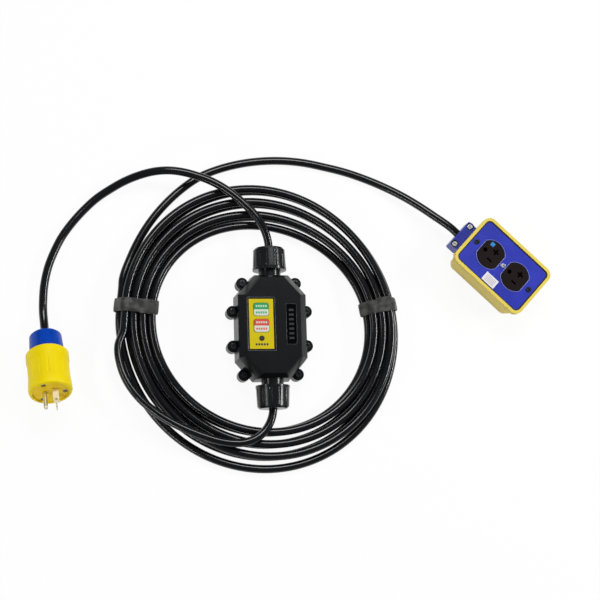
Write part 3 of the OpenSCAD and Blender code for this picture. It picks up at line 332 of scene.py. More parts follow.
def makers():
    """How each finish is made."""
    c = bpy.context.scene.shore_colours

    def plastic(*values, **more):
        return lambda: moulded(*values, **more)

    return {
        # glossy ABS from a polished mould: deep black with broad soft reflections
        "abs_case": plastic("polished_abs_case", c.case, 0.27, worn=1.0, ior=1.24),
        # glass-filled nylon: a satin black that draws bright lines on the ribs
        "nylon_nut": plastic(
            "glass_filled_nylon", c.nut, 0.22, 0.001, 0.00001, worn=1.3, ior=1.42
        ),
        # moulded rubber: dull, so that the seals stay dark lines; on the box it also makes
        # painted shade, as the lip in the cover's gap and the rings round the clamp's screws
        "seal": plastic("nitrile_rubber", c.nut, 0.7, 0.0014, 0.0001),
        "jacket": lambda: vinyl_jacket(c.cord),
        "strap": lambda: woven_strap(c.strap),
        # screen-printed polycarbonate: even yellow with a soft gloss
        "label": plastic(
            "printed_polycarbonate_label", c.label, 0.36, 0.0016, 0.00002, worn=0.85, ior=1.3
        ),
        "reset": lambda: two_tone_print("printed_reset_cap", c.reset, c.pale, RESET_SPLIT),
        "test": lambda: two_tone_print("printed_test_cap", c.test, c.pale, TEST_SPLIT),
        # screen inks: thin, flat and a little duller than the plastic under them
        "pale_ink": plastic("pale_screen_ink", linear("#b4cbb4"), 0.4, 0.001, 0.00002),
        "dark_ink": plastic("dark_screen_ink", c.case, 0.4, 0.001, 0.00002),
        "reset_ink": plastic("green_screen_ink", c.reset, 0.4, 0.001, 0.00002),
        "test_ink": plastic("red_screen_ink", c.test, 0.4, 0.001, 0.00002),
        "grey_ink": plastic("grey_screen_ink", linear("#9a959b"), 0.5, 0.001, 0.00002),
        # clear lens over an unlit lamp: dark and glossy
        "lens": plastic("smoked_lens", linear("#3a3833"), 0.12, 0.002, 0.00001),
        # thermoplastic rubber over nylon: bright yellow with a soft waxy gloss
        "plug": plastic("plug_elastomer", c.plug, 0.42, 0.0014, 0.00004, worn=1.05, ior=1.28),
        # the nylon inside it: deeper and drier
        "plug_face": plastic("plug_face_nylon", c.plug_face, 0.5, worn=1.05, ior=1.3),
        # moulded nylon nut: clear blue without haze
        "plug_nut": plastic("blue_nylon_nut", c.plug_nut, 0.26, worn=1.4, ior=1.25),
        # thermoplastic box with a spark-eroded grain: pale yellow and dry
        "box": plastic("eroded_grain_box", c.box, 0.48, 0.0011, 0.00012, worn=1.15),
        # royal blue ABS from a polished mould, and its raised edges drawn paler blue: painted
        # highlight
        "cover": plastic("royal_blue_abs", c.cover, 0.32, 0.0013, 0.00006, ior=1.42),
        "rubbed_blue": plastic("rubbed_blue_lip", linear("#6f78bd"), 0.3, 0.0013),
        # dark thermoset receptacle: matt and faintly warm
        "outlet": plastic("brown_thermoset", c.outlet, 0.42, depth=0.00004, worn=1.2, ior=1.2),
        # brushed-on enamel: flat light blue
        "mark": plastic("blue_paint_mark", c.mark, 0.3, 0.001),
        # uncoated paper sticker: white and matt, with a faint fibre
        "paper": plastic("paper_sticker", linear("#dcd8da"), 0.62, 0.0008, 0.00004, worn=0.95),
        # metals: pale soft gloss on the blades, bright on the screws, and a dull darker grey on
        # the plug's face screws
        "brass": lambda: plated("stamped_brass", c.brass, 0.42, 0.0015),
        "steel": lambda: plated("zinc_plated_steel", c.steel, 0.3, 0.0012),
        "dark_steel": lambda: plated("dark_grey_steel", linear("#77736a"), 0.32, 0.0012),
        # parts of the black case: a lighter grey on the raised bars, the hollow's rim and the
        # label's frame that is painted highlight, and a near-black sheet in the hollow that is
        # painted shade
        "raised": plastic("rubbed_raised_bars", linear("#232527"), 0.3),
        "rubbed_black": plastic("rubbed_black_edge", linear("#34363a"), 0.3),
        "hollow": plastic("unlit_hollow", linear("#030304"), 0.5, ior=1.08),
        # oil-blackened screws: dark, with bright worn edges
        "black_screw": plastic("blackened_screw", c.nut, 0.24, 0.0008, 0.00004, worn=3.0),
        # glass-fibre board under solder mask, and the nylon pieces that stand on it
        "board": plastic("green_solder_mask", linear("#1b5a34"), 0.3, depth=0.00004),
        "terminal": plastic("green_terminal_nylon", linear("#2f6b4c"), 0.4, depth=0.00005),
        "carriage": plastic("ivory_carriage", linear("#d9d4c4"), 0.42, depth=0.00005),
    }


FINISHES = {}


def finish(name):
    """One of the object's finishes, made at its first use."""
    if name not in FINISHES:
        FINISHES[name] = makers()[name]()
    return FINISHES[name]


# ---------------------------- piece building


def piece_from(bm, name, material, body=ROOT, smooth=True):
    """Links a finished bmesh as a piece of one material that rides on a body."""
    mesh = bpy.data.meshes.new(name)
    bm.to_mesh(mesh)
    bm.free()
    obj = bpy.data.objects.new(name, mesh)
    bpy.context.scene.collection.objects.link(obj)
    mesh.materials.append(finish(material))
    for face in mesh.polygons:
        face.use_smooth = smooth
    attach(obj, body)
    return obj


def skirt(bm, a, b):
    """Joins two closed rings of points by faces."""
    for j in range(len(a)):
        n = (j + 1) % len(a)
        bm.faces.new((a[j], a[n], b[n], b[j]))


def settle(obj):
    """Turns an object's modifiers into plain mesh."""
    graph = bpy.context.evaluated_depsgraph_get()
    mesh = bpy.data.meshes.new_from_object(obj.evaluated_get(graph), depsgraph=graph)
    obj.modifiers.clear()
    old, obj.data = obj.data, mesh
    mesh.name = obj.name
    bpy.data.meshes.remove(old)


SHARP = math.radians(30)    # corners above this turn are rounded


def rounded(node, edge, material):
    """A copy of a solid with its sharp corners rounded. It stands for the solid and is marked
    along the rounded edges, where its finish wears."""
    source = frame["nodes"][node]
    body = source["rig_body"]
    bm = bmesh.new()
    bm.from_mesh(source.data)
    # weld the triangles and join the flat ones, so that only true corners are left
    bmesh.ops.remove_doubles(bm, verts=bm.verts, dist=2e-6)
    bmesh.ops.dissolve_limit(
        bm, angle_limit=math.radians(0.5), verts=bm.verts[:], edges=bm.edges[:],
        use_dissolve_boundaries=False,
    )
    mark = bm.verts.layers.float.new("edge")
    corners = [e for e in bm.edges if len(e.link_faces) == 2 and e.calc_face_angle(0) > SHARP]
    made = bmesh.ops.bevel(
        bm, geom=corners, offset=edge, offset_type="OFFSET", segments=2, profile=0.6,
        affect="EDGES", clamp_overlap=True,
    )
    for face in made["faces"]:
        for vert in face.verts:
            vert[mark] = 1.0
    bmesh.ops.triangulate(bm, faces=[f for f in bm.faces if len(f.verts) > 4])
    obj = piece_from(bm, node + "_moulded", material, body)
    weigh = obj.modifiers.new("normals", "WEIGHTED_NORMAL")
    weigh.keep_sharp = False
    weigh.weight = 60
    settle(obj)
    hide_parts(node)


def plain(node, material):
    """Gives a solid that stays as it is its finish."""
    materials = frame["nodes"][node].data.materials
    materials.clear()
    materials.append(finish(material))


# ---------------------------- routes of the cord

CORD_R = 4.8
PLUG_PITCH, PLUG_YAW = math.radians(26), math.radians(5.2)   # nose up, and turned
PLUG_AXIS = Vector((
    math.sin(PLUG_YAW) * math.cos(PLUG_PITCH),
    -math.cos(PLUG_YAW) * math.cos(PLUG_PITCH),
    math.sin(PLUG_PITCH),
))
PLUG_REAR = Vector((-255.8, -7.0, 15.3038))
BOX_YAW = math.radians(-43.6)
BOX_U = Vector((math.cos(BOX_YAW), math.sin(BOX_YAW), 0))
BOX_MIDDLE = (276.5, 70.2)
BOX_END = Vector((*BOX_MIDDLE, 20)) - 60.75 * BOX_U
STRAP_ANGLE = math.radians(7.5)     # of both straps, up from the coil's middle

RINGS_PER_TURN = 24
INNER_RING, OUTER_RING, LAST_RING = 72, 84, 169   # end of upper layer, start and end of lower
COIL_X, COIL_Y, COIL_R = -9, 8, 145.5
TURN_PITCH, TURN_SPREAD = 10.3, 4.5     # between turns at the straps, and added between them
MEAN_TURN = 1.25                        # the turn that lies on the coil's radius
LAYER_RISE, STRAP_LIFT = 10.2, 2.8      # of the upper layer, and of all turns in the straps


def coil_point(i):
    """Point i along the coil, in millimetres: three turns in on the upper layer, half a turn
    that climbs down, and three and a half turns out on the lower layer."""
    a = math.radians(180 - 360 / RINGS_PER_TURN * i)
    if i < INNER_RING:
        slot = i / RINGS_PER_TURN
    else:
        slot = INNER_RING / RINGS_PER_TURN - max(0, i - OUTER_RING) / RINGS_PER_TURN
    mid = COIL_R - 2.3 * math.sin(a) - 3.4 * math.sin(2 * a)
    pitch = TURN_PITCH + TURN_SPREAD * math.sin(a) ** 2 * (1 + 0.2 * math.sin(a))
    radius = mid + (MEAN_TURN - slot) * pitch
    drop = min(1, max(0, (i - INNER_RING) / (OUTER_RING - INNER_RING)))
    layer = 1 - drop * drop * (3 - 2 * drop)
    near = max(0, math.cos(a - STRAP_ANGLE)) ** 8 + max(0, -math.cos(a + STRAP_ANGLE)) ** 8
    lift = STRAP_LIFT / math.cos(STRAP_ANGLE) ** 8 * near
    return Vector((
        radius * math.cos(a) + COIL_X, radius * math.sin(a) + COIL_Y,
        CORD_R + lift + LAYER_RISE * layer,
    ))


COIL = [coil_point(i) for i in range(LAST_RING + 1)]
COIL_IN = (COIL[1] - COIL[0]).normalized()
COIL_OUT = (COIL[-1] - COIL[-2]).normalized()

LEAD = [
    (0, 91.5, 24), (-0.8, 102, 24.6), (-4.5, 114, 26.5), (-11, 126, 28), (-19.5, 137, 28),
    (-29.5, 147, 28), (-41, 157, 28), (-54, 166, 28), (-68.5, 173.5, 28), (-84, 179, 28),
    (-100, 183, 28), (-117, 185, 26), (-134, 184, 22.5), (-151, 180, 18), (-167, 174, 13),
    (-182, 166, 8.5), (-197, 156, 6), (-211, 143, 5), (-225, 127, 5), (-237, 110, 5),
    (-246, 92, 5), (-253, 73, 5), (-257.2, 52, 5), (-258.4, 32, 5.1), (-258.2, 21, 5.9),
    (-257.3, 10.6, 8.1), PLUG_REAR - 8 * PLUG_AXIS, PLUG_REAR + 2 * PLUG_AXIS,
]
FEED = [
    (0, -91.5, 24), (-2.6, -105.3, 25), (-9.7, -117.6, 26), (-20.5, -126.6, 27),
    (-33.7, -131.2, 27), (-48, -131.5, 27), (-65, -128.5, 27), (-83, -122.5, 27),
    (-101, -115, 27), (-119, -105.5, 27), (-136, -94, 27), (-151.5, -80, 27),
    (-164.5, -62, 25.5), (-172.5, -41, 22.5), (-174.5, -19, 19.5), COIL[0] - 9.6 * COIL_IN,
]
TAIL = [
    COIL[-1] + 9.6 * COIL_OUT, (-159, 86, 5.5), (-149, 107, 5), (-136, 128, 5), (-119, 149, 5),
    (-99, 168, 5), (-78, 183, 5), (-55, 193, 5), (-30, 200, 5), (-4, 204, 5), (22, 205, 5),
    (48, 203, 5), (74, 198, 5), (99, 192, 5), (123, 184, 5), (146, 174, 6.5), (168, 162, 9.5),
    (187, 149, 13.5), (203, 136.5, 17.5), BOX_END - 14 * BOX_U, BOX_END,
]


def smooth_path(points, first, last, steps):
    """A smooth line through the route's points, in metres, leaving and arriving in the given
    directions."""
    points = [Vector(p) * MM for p in points]
    ways = [first]
    for a, b, c in zip(points, points[1:], points[2:]):
        ways.append(((b - a).normalized() + (c - b).normalized()).normalized())
    ways.append(last)
    path = [points[0]]
    for a, b, u, v in zip(points, points[1:], ways, ways[1:]):
        span = (b - a).length
        for k in range(1, steps + 1):
            t = k / steps
            near, far = 2 * t**3 - 3 * t**2 + 1, 3 * t**2 - 2 * t**3
            leave, arrive = t**3 - 2 * t**2 + t, t**3 - t**2
            path.append(near * a + leave * span * u + far * b + arrive * span * v)
    return path


def tube_tree():
    """Node tree that sweeps a round section along a line of points and marks how far along the
    line each ring lies."""
    tree = bpy.data.node_groups.new("Cord tube", "GeometryNodeTree")
    face = tree.interface
    face.new_socket("Line", in_out="INPUT", socket_type="NodeSocketGeometry")
    face.new_socket("Radius", in_out="INPUT", socket_type="NodeSocketFloat")
    face.new_socket("Sides", in_out="INPUT", socket_type="NodeSocketInt")
    face.new_socket("Finish", in_out="INPUT", socket_type="NodeSocketMaterial")
    face.new_socket("Tube", in_out="OUTPUT", socket_type="NodeSocketGeometry")
    given = add(tree, "NodeGroupInput").outputs
    line = add(tree, "GeometryNodeMeshToCurve", {"Mesh": given["Line"]}).outputs[0]
    along = add(tree, "GeometryNodeSplineParameter")
    marked = add(
        tree, "GeometryNodeStoreNamedAttribute",
        {"Geometry": line, "Name": "along", "Value": along.outputs["Length"]},
        data_type="FLOAT", domain="POINT",
    )
    ring = add(
        tree, "GeometryNodeCurvePrimitiveCircle",
        {"Resolution": given["Sides"], "Radius": given["Radius"]},
    )
    tube = add(
        tree, "GeometryNodeCurveToMesh",
        {"Curve": marked.outputs[0], "Profile Curve": ring.outputs[0], "Fill Caps": True},
    )
    real = add(tree, "GeometryNodeRealizeInstances", {"Geometry": tube.outputs[0]})
    clad = add(
        tree, "GeometryNodeSetMaterial",
        {"Geometry": real.outputs[0], "Material": given["Finish"]},
    )
    add(tree, "NodeGroupOutput", {"Tube": clad.outputs[0]})
    return tree


def use_tree(obj, tree, values):
    """Adds a node tree to an object and sets its inputs by their identifiers."""
    work = obj.modifiers.new(tree.name, "NODES")
    work.node_group = tree
    for item in tree.interface.items_tree:
        if item.in_out == "INPUT" and item.name in values:
            work[item.identifier] = values[item.name]


def cord_piece(name, path):
    """A round cord along a path, as a plain mesh."""
    sizes = bpy.context.scene.shore_sizes
    mesh = bpy.data.meshes.new(name)
    mesh.from_pydata(path, [(k, k + 1) for k in range(len(path) - 1)], [])
    obj = bpy.data.objects.new(name, mesh)
    bpy.context.scene.collection.objects.link(obj)
    tree = bpy.data.node_groups.get("Cord tube") or tube_tree()
    radius = sizes.cord_d / 2
    use_tree(obj, tree, {"Radius": radius, "Sides": sizes.cord_sides, "Finish": finish("jacket")})
    settle(obj)
    for face in obj.data.polygons:
        face.use_smooth = len(face.vertices) == 4
    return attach(obj, ROOT)


PATHS = {}


class SHORE_OT_cords(bpy.types.Operator):
    """Lays the plug lead and the long cord with its coil"""

    bl_idname = "shore.cords"
    bl_label = "Cords"

    def execute(self, context):
        steps = context.scene.shore_sizes.cord_steps
        PATHS["lead"] = smooth_path(LEAD, Vector((0, 1, 0)), PLUG_AXIS, steps)
        PATHS["long"] = smooth_path(FEED + COIL + TAIL, Vector((0, -1, 0)), BOX_U, steps)
        lead = cord_piece("plug_lead", PATHS["lead"])
        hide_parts("lead_cord")
        long = cord_piece("long_cord", PATHS["long"])
        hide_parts("feed_cord", "coiled_cord", "tail_cord")
        return {"FINISHED"}


# ---------------------------- straps


def crossings(first):
    """Middles of the turns where they pass through a strap, and the strap's own axes."""
    steps = bpy.context.scene.shore_sizes.cord_steps
    path, start = PATHS["long"], len(FEED) * steps
    rings = range(first, LAST_RING, RINGS_PER_TURN)
    places = [path[start + i * steps + steps // 2] for i in rings]
    along = path[start + (first + 1) * steps] - path[start + first * steps]
    along.z = 0
    return places, along.normalized()


def whole_turn(count):
    """Angles that divide a turn evenly."""
    return [2 * math.pi * k / count for k in range(count)]


BAND_RINGS = 120


def hull_outline(centres, radius):
    """Points round the taut outline of equal circles, evenly spaced, and its length."""
    ring = [radius * Vector((math.cos(a), math.sin(a))) for a in whole_turn(64)]
    points = [centre + way for centre in centres for way in ring]
    points.sort(key=lambda p: (p.x, p.y))
    chain = []
    for order in (points, points[::-1]):
        part = []
        for p in order:
            while len(part) > 1 and (part[-1] - part[-2]).cross(p - part[-1]) <= 0:
                part.pop()
            part.append(p)
        chain += part[:-1]
    ends = chain[1:] + chain[:1]
    total = sum((b - a).length for a, b in zip(chain, ends))
    made, walked, want = [], 0.0, 0.0
    for a, b in zip(chain, ends):
        span = (b - a).length
        while want < walked + span and len(made) < BAND_RINGS:
            made.append(a + (b - a) * ((want - walked) / span))
            want += total / BAND_RINGS
        walked += span
    return made, total


STRAP_LAP = 0.014    # length of a strap that lies double
BAND_IN, BAND_OUT = 0.04, 0.96          # a band's faces, as shares of its thickness
TAIL_THIN, TAIL_SLIM = 0.42, 0.97       # the loose end's thickness and width, as shares
TAIL_DEEP, TAIL_LIFT, TAIL_STEPS = 0.9, 0.0003, 14
# a band's section with rolled selvages: share of half the width, share of the thickness
SELVAGE = 0.35
BAND = [(-1, SELVAGE), (-0.94, 0.85), (-0.5, 1), (0, 1), (0.5, 1), (0.94, 0.85), (1, SELVAGE)]


def strap_piece(name, first, tail_side, node, curl, taper, skew):
    """A woven band drawn tight round the turns, with its loose end lying on the band. The end
    curls up by `curl`, narrows by the share `taper` and lies `skew` to one side."""
    sizes = bpy.context.scene.shore_sizes
    places, along = crossings(first)
    side = Vector((-along.y, along.x, 0))
    origin = places[1].copy()
    origin.z = 0
    flat = [Vector(((p - origin).dot(side), p.z)) for p in places]
    inner_r = sizes.cord_d / 2 + sizes.strap_clear
    half = sizes.strap_w / 2
    inner, _ = hull_outline(flat, inner_r)
    outer, around = hull_outline(flat, inner_r + sizes.strap_t * BAND_OUT)
    rows = [(half * share, height) for share, height in BAND]
    bm = bmesh.new()
    run, across = bm.verts.layers.float.new("run"), bm.verts.layers.float.new("across")

    def put(p, y, r):
        v = bm.verts.new(origin + side * p.x + Vector((0, 0, p.y)) + along * y)
        v[run], v[across] = r, y
        return v

    rings = []
    for k in range(BAND_RINGS):
        way, at = outer[k] - inner[k], around * k / BAND_RINGS
        skin = [put(inner[k] + way * h, y, at) for y, h in rows]
        back = [put(inner[k] + way * BAND_IN, y, at) for y, _ in rows[::-1]]
        rings.append(skin + back)
    for a, b in zip(rings, rings[1:] + rings[:1]):
        skirt(bm, a, b)
    # loose end: a thinner and narrower layer that lies half sunk in the top of the band, and
    # reaches past the last turn
    reach = max(flat, key=lambda p: p.y - tail_side * p.x)
    top = reach.y + inner_r + sizes.strap_t / 2 + TAIL_LIFT
    loose = STRAP_LAP + sizes.strap_tail
    thin = sizes.strap_t * TAIL_THIN
    tail = []
    for k in range(TAIL_STEPS + 1):
        t = k / TAIL_STEPS
        x = reach.x + tail_side * (STRAP_LAP - t * loose)
        past = max(0.0, -tail_side * (x - reach.x)) / sizes.strap_tail
        z = top + curl * past * past
        narrow, aside = TAIL_SLIM * (1 - taper * past), skew * (1 - past / 2)
        points = [(y * narrow + aside, z + thin * (h - SELVAGE)) for y, h in rows]
        points += [(y, z - thin * TAIL_DEEP) for y, _ in points[::-1]]
        tail.append([put(Vector((x, z)), y, around + t * loose) for y, z in points])
    for a, b in zip(tail, tail[1:]):
        skirt(bm, a, b)
    bm.faces.new(tail[0])
    bm.faces.new(tail[-1])
    bmesh.ops.recalc_face_normals(bm, faces=bm.faces)
    obj = piece_from(bm, name, "strap")
    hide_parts(node)
    flat = (sizes.strap_w, around + loose)


class SHORE_OT_straps(bpy.types.Operator):
    """Draws the two straps round the coil"""

    bl_idname = "shore.straps"
    bl_label = "Straps"

    def execute(self, context):
        strap_piece("left_band", 0, 1, "left_strap", curl=0.003, taper=0.0, skew=-0.0012)
        strap_piece("right_band", 11, -1, "right_strap", curl=0.0006, taper=0.6, skew=-0.0018)
        return {"FINISHED"}


# ---------------------------- ground-fault unit

LABEL = (-0.0146, 0.001)                # middle of the label plate
LABEL_FRAME = (0.0318, 0.0613, 0.001)   # raised line round it: width, length, corner
BEAD = [(-0.0006, -0.0001), (-0.0004, 0.0004), (0, 0.0006), (0.0004, 0.0004), (0.0006, -0.0001)]
HOLLOW_AT, HOLLOW = (0.02, 0.0008), (0.0112, 0.046)   # middle and size of the hollow beside it
HOLLOW_DEEP, HOLLOW_RIM = 0.0008, 0.0006
BAR, BAR_PITCH = (0.0056, 0.0024), 0.0054             # bars in the hollow
PRINT, PRINT_PITCH = (0.0018, 0.0024), 0.0027         # bars on the buttons
PRINT_ROW = 0.0037                      # from a button's middle to each of its two rows
LAMP_PRINT, LAMP_PITCH, LAMP_ROW = (0.0021, 0.0024), 0.0031, 0.0052
SUNK, PRINT_RISE = 0.00002, 0.00006     # how far a bar reaches into its face and above it


CORNERS = [(-1, -1), (1, -1), (1, 1), (-1, 1)]
HERE = Matrix.Identity(4)


def marks(name, places, size, material, body=ROOT, rise=PRINT_RISE, place=HERE):
    """Plain printed or moulded bars, standing a hair proud of the face they are on."""
    bm = bmesh.new()
    corners = [(x * size[0] / 2, y * size[1] / 2) for x, y in CORNERS]
    for spot in places:
        low, high = (
            [bm.verts.new(place @ (Vector(spot) + Vector((x, y, z)))) for x, y in corners]
            for z in (-SUNK, rise)
        )
        bm.faces.new(high)
        bm.faces.new(low[::-1])
        skirt(bm, low, high)
    piece_from(bm, name, material, body, smooth=False)


def rail(name, outlines, section, base, material, place=HERE):
    """A raised line of one section that follows closed outlines. The section's points are
    (outward, up) from the outline at height `base`."""
    bm = bmesh.new()
    for outline in outlines:
        rings = []
        for k, b in enumerate(outline):
            a, c = outline[k - 1], outline[(k + 1) % len(outline)]
            n1, n2 = (Vector((d.y, -d.x)).normalized() for d in (b - a, c - b))
            out = (n1 + n2) / (1 + n1.dot(n2))
            rings.append([
                bm.verts.new(place @ Vector((b.x + out.x * s, b.y + out.y * s, base + z)))
                for s, z in section
            ])
        for a, b in zip(rings, rings[1:] + rings[:1]):
            skirt(bm, a, b)
    bmesh.ops.recalc_face_normals(bm, faces=bm.faces)
    piece_from(bm, name, material)


def round_rect(w, l, r, centre=(0, 0), steps=5):
    """A rectangle with round corners, as a closed outline."""
    points = []
    for sx, sy, start in ((1, 1, 0), (-1, 1, 90), (-1, -1, 180), (1, -1, 270)):
        for k in range(steps + 1):
            a = math.radians(start + 90 * k / steps)
            x = centre[0] + sx * (w / 2 - r) + r * math.cos(a)
            y = centre[1] + sy * (l / 2 - r) + r * math.sin(a)
            points.append(Vector((x, y)))
    return points


def circle(r, x, y):
    """A circle, as a closed outline."""
    return [Vector((x + r * math.cos(a), y + r * math.sin(a))) for a in whole_turn(32)]


class SHORE_OT_unit(bpy.types.Operator):
    """Dresses the shells, seal and screws of the ground-fault unit"""

    bl_idname = "shore.unit"
    bl_label = "Ground-fault unit"

    def execute(self, context):
        edges = context.scene.shore_edges
        rounded("unit_front_shell", edges.case, "abs_case")
        rounded("unit_rear_shell", edges.case, "abs_case")
        rounded("unit_case_screws", edges.fine, "black_screw")
        plain("unit_gasket", "seal")
        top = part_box("unit_front_shell")[1].z
        # raised frame round the label, drawn lighter grey as a painted highlight, and the hollow
        # beside it with its rim and plain bars
        rail("label_frame", [round_rect(*LABEL_FRAME, LABEL)], BEAD, top, "rubbed_black")
        wide, long = (side + HOLLOW_RIM for side in HOLLOW)
        line = round_rect(wide, long, HOLLOW_RIM, HOLLOW_AT)
        # the hollow's rim is lighter grey than the case: painted highlight
        rail("hollow_rim", [line], [(s / 2, z / 4) for s, z in BEAD], top, "raised")
        x, y, floor = *HOLLOW_AT, top - HOLLOW_DEEP
        inside = [side - 0.0002 for side in HOLLOW]
        # a near-black sheet on the hollow's floor: painted shade
        marks("painted_shade_hollow_floor", [(x, y, floor)], inside, "hollow")
        # plain bars for the raised lettering; their grey, lighter than the case, is painted
        # highlight
        bars = [(x, y + BAR_PITCH * k, floor) for k in range(-3, 4)]
        marks("hollow_bars", bars, BAR, "raised", rise=0.0006)
        return {"FINISHED"}


class SHORE_OT_glands(bpy.types.Operator):
    """Dresses the cord glands at both ends of the unit"""

    bl_idname = "shore.glands"
    bl_label = "Cord glands"

    def execute(self, context):
        edges = context.scene.shore_edges
        for end in ("north", "south"):
            rounded(end + "_gland_nut", edges.nut, "nylon_nut")
            plain(end + "_gland_body", "nylon_nut")
            plain(end + "_gland_seal", "seal")
        return {"FINISHED"}


class SHORE_OT_controls(bpy.types.Operator):
    """Dresses the label, the two buttons and the lamp"""

    bl_idname = "shore.controls"
    bl_label = "Label and buttons"

    def execute(self, context):
        edges = context.scene.shore_edges
        rounded("label_plate", edges.fine / 2, "label")
        rounded("reset_button", edges.fine * 1.5, "reset")
        rounded("test_button", edges.fine * 1.5, "test")
        rounded("led_bezel", edges.fine / 2, "seal")
        rounded("led_lens", edges.fine, "lens")
        for name in ("reset", "test"):
            low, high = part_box(name + "_button")
            middle = (low + high) / 2
            for side, word, ink in ((1, "upper", "pale_ink"), (-1, "lower", name + "_ink")):
                y = middle.y + side * PRINT_ROW
                spots = [(middle.x + PRINT_PITCH * k, y, high.z) for k in range(-2, 3)]
                marks(f"{name}_print_{word}", spots, PRINT, ink, name + "_button")
        low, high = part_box("label_plate")
        spots = [(LABEL[0] + LAMP_PITCH * k, low.y + LAMP_ROW, high.z) for k in range(-2, 3)]
        marks("lamp_print", spots, LAMP_PRINT, "dark_ink")
        return {"FINISHED"}


class SHORE_OT_works(bpy.types.Operator):
    """Finishes the pieces inside the unit, the plug and the box"""

    bl_idname = "shore.works"
    bl_label = "Inner pieces"

    def execute(self, context):
        inner = {
            "board": ["circuit_board"],
            "steel": [
                "board_screws", "reset_spring", "test_spring", "trip_plunger", "plug_terminals",
                "receptacle_yoke", "neutral_contacts",
            ],
            "seal": [
                "button_switches", "current_sensor", "plug_grommet", "box_gasket", "box_grommet",
            ],
            "brass": ["trip_solenoid", "hot_contacts", "ground_contacts"],
            "terminal": ["line_terminals", "load_terminals"],
            "carriage": ["contact_carriage"],
            "outlet": ["receptacle_base"],
        }
        for material, nodes in inner.items():
            for node in nodes:
                plain(node, material)
        return {"FINISHED"}


# ---------------------------- plug


class SHORE_OT_plug(bpy.types.Operator):
    """Dresses the plug: body, nut, face, blades and screws"""

    bl_idname = "shore.plug"
    bl_label = "Plug"

    def execute(self, context):
        edges = context.scene.shore_edges
        rounded("plug_shell", edges.plug, "plug")
        rounded("plug_clamp_nut", edges.nut, "plug_nut")
        rounded("plug_face", edges.fine, "plug_face")
        rounded("hot_blade", edges.fine, "brass")
        rounded("neutral_blade", edges.fine, "brass")
        rounded("ground_pin", edges.fine / 2, "brass")
        rounded("plug_face_screws", edges.fine / 2, "dark_steel")
        return {"FINISHED"}


# ---------------------------- outlet box

BOX_AT = Vector([v * MM for v in BOX_MIDDLE] + [0])
BOX_PLACE = Matrix.Translation(BOX_AT) @ Matrix.Rotation(BOX_YAW, 4, "Z")
BOX_INSIDE = (0.0973, 0.0638, 0.0064)   # opening of the rim: length, width, corner
COVER_TOP = 0.0445
OUTLET_R, OUTLET_FLAT, OUTLET_PITCH = 0.01705, 0.0143, 0.0389
CLAMP_SCREWS = (-0.0585, 0.0145)        # place along and across the box
SHADE_RING_R = 0.0041
LABEL_V = -0.024                        # middle of the sticker across the box
ROW, ROW_PITCH = (0.0138, 0.0006), 0.0017
# sections of the raised lines
LIP = [
    (-0.0016, -0.0001), (-0.0012, 0.0003), (-0.0005, 0.0004), (-0.0001, 0.0002),
    (-0.0001, -0.0001),
]
EDGE = [
    (0.00035, -0.0001), (0.00045, 0.0007), (0.0008, 0.00085), (0.0011, 0.0007),
    (0.0013, -0.0001),
]
# section of the dark rings round the clamp's screws, which are painted shade
SHADE_RING = [(-0.0005, -0.0002), (-0.0004, 0.0002), (0.0004, 0.0002), (0.0006, -0.0001)]


def outlet_outline(u):
    """Round receptacle face with two flats, as a closed outline at its place along the box."""
    corner = math.acos(OUTLET_FLAT / OUTLET_R)
    points = []
    for start in (0, math.pi):
        for k in range(17):
            a = start + corner + (math.pi - 2 * corner) * k / 16
            points.append(Vector((u + OUTLET_R * math.cos(a), OUTLET_R * math.sin(a))))
    return points


class SHORE_OT_box(bpy.types.Operator):
    """Dresses the outlet box, its cover and its cord clamp"""

    bl_idname = "shore.box"
    bl_label = "Outlet box"

    def execute(self, context):
        edges = context.scene.shore_edges
        rounded("box_body", edges.box, "box")
        rounded("box_cover", edges.cover / 2, "cover")
        rounded("strain_relief_base", edges.cover, "cover")
        rounded("strain_relief_cap", edges.cover, "cover")
        # dark rubber lip in the corner between the rim and the cover: painted shade of the gap
        # there
        inside = round_rect(*BOX_INSIDE, steps=8)
        rail("cover_gap_shade_lip", [inside], LIP, COVER_TOP, "seal", BOX_PLACE)
        # raised edges round the two openings of the cover, paler blue as a painted highlight
        openings = [outlet_outline(s * OUTLET_PITCH / 2) for s in (-1, 1)]
        rail("cover_opening_edges", openings, EDGE, COVER_TOP, "rubbed_blue", BOX_PLACE)
        # dark rings round the clamp's screws: painted shade of the recesses they sit in
        cap_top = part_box("strain_relief_cap")[1].z
        rings = [circle(SHADE_RING_R, CLAMP_SCREWS[0], s * CLAMP_SCREWS[1]) for s in (-1, 1)]
        rail("clamp_shade_rings", rings, SHADE_RING, cap_top, "seal", BOX_PLACE)
        return {"FINISHED"}


class SHORE_OT_outlets(bpy.types.Operator):
    """Dresses the receptacle, the screws, the sticker and the painted mark"""

    bl_idname = "shore.outlets"
    bl_label = "Outlets and screws"

    def execute(self, context):
        edges = context.scene.shore_edges
        rounded("receptacle_face", edges.fine, "outlet")
        rounded("end_screws", edges.fine / 2, "black_screw")
        rounded("centre_screw", edges.fine / 2, "steel")
        rounded("strain_relief_screws", edges.fine / 2, "steel")
        rounded("box_label", edges.fine / 4, "paper")
        rounded("outlet_mark", edges.fine / 4, "mark")
        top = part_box("box_label")[1].z
        rows = [(0, LABEL_V + ROW_PITCH * k, top) for k in range(-2, 3)]
        marks("sticker_rows", rows, ROW, "grey_ink", place=BOX_PLACE)
        return {"FINISHED"}


class SHORE_OT_declare(bpy.types.Operator):
    """Does nothing: it finishes at once and states nothing about the cords"""

    bl_idname = "shore.declare"
    bl_label = "State the cords"

    def execute(self, context):
        return {"FINISHED"}


# ---------------------------- stage


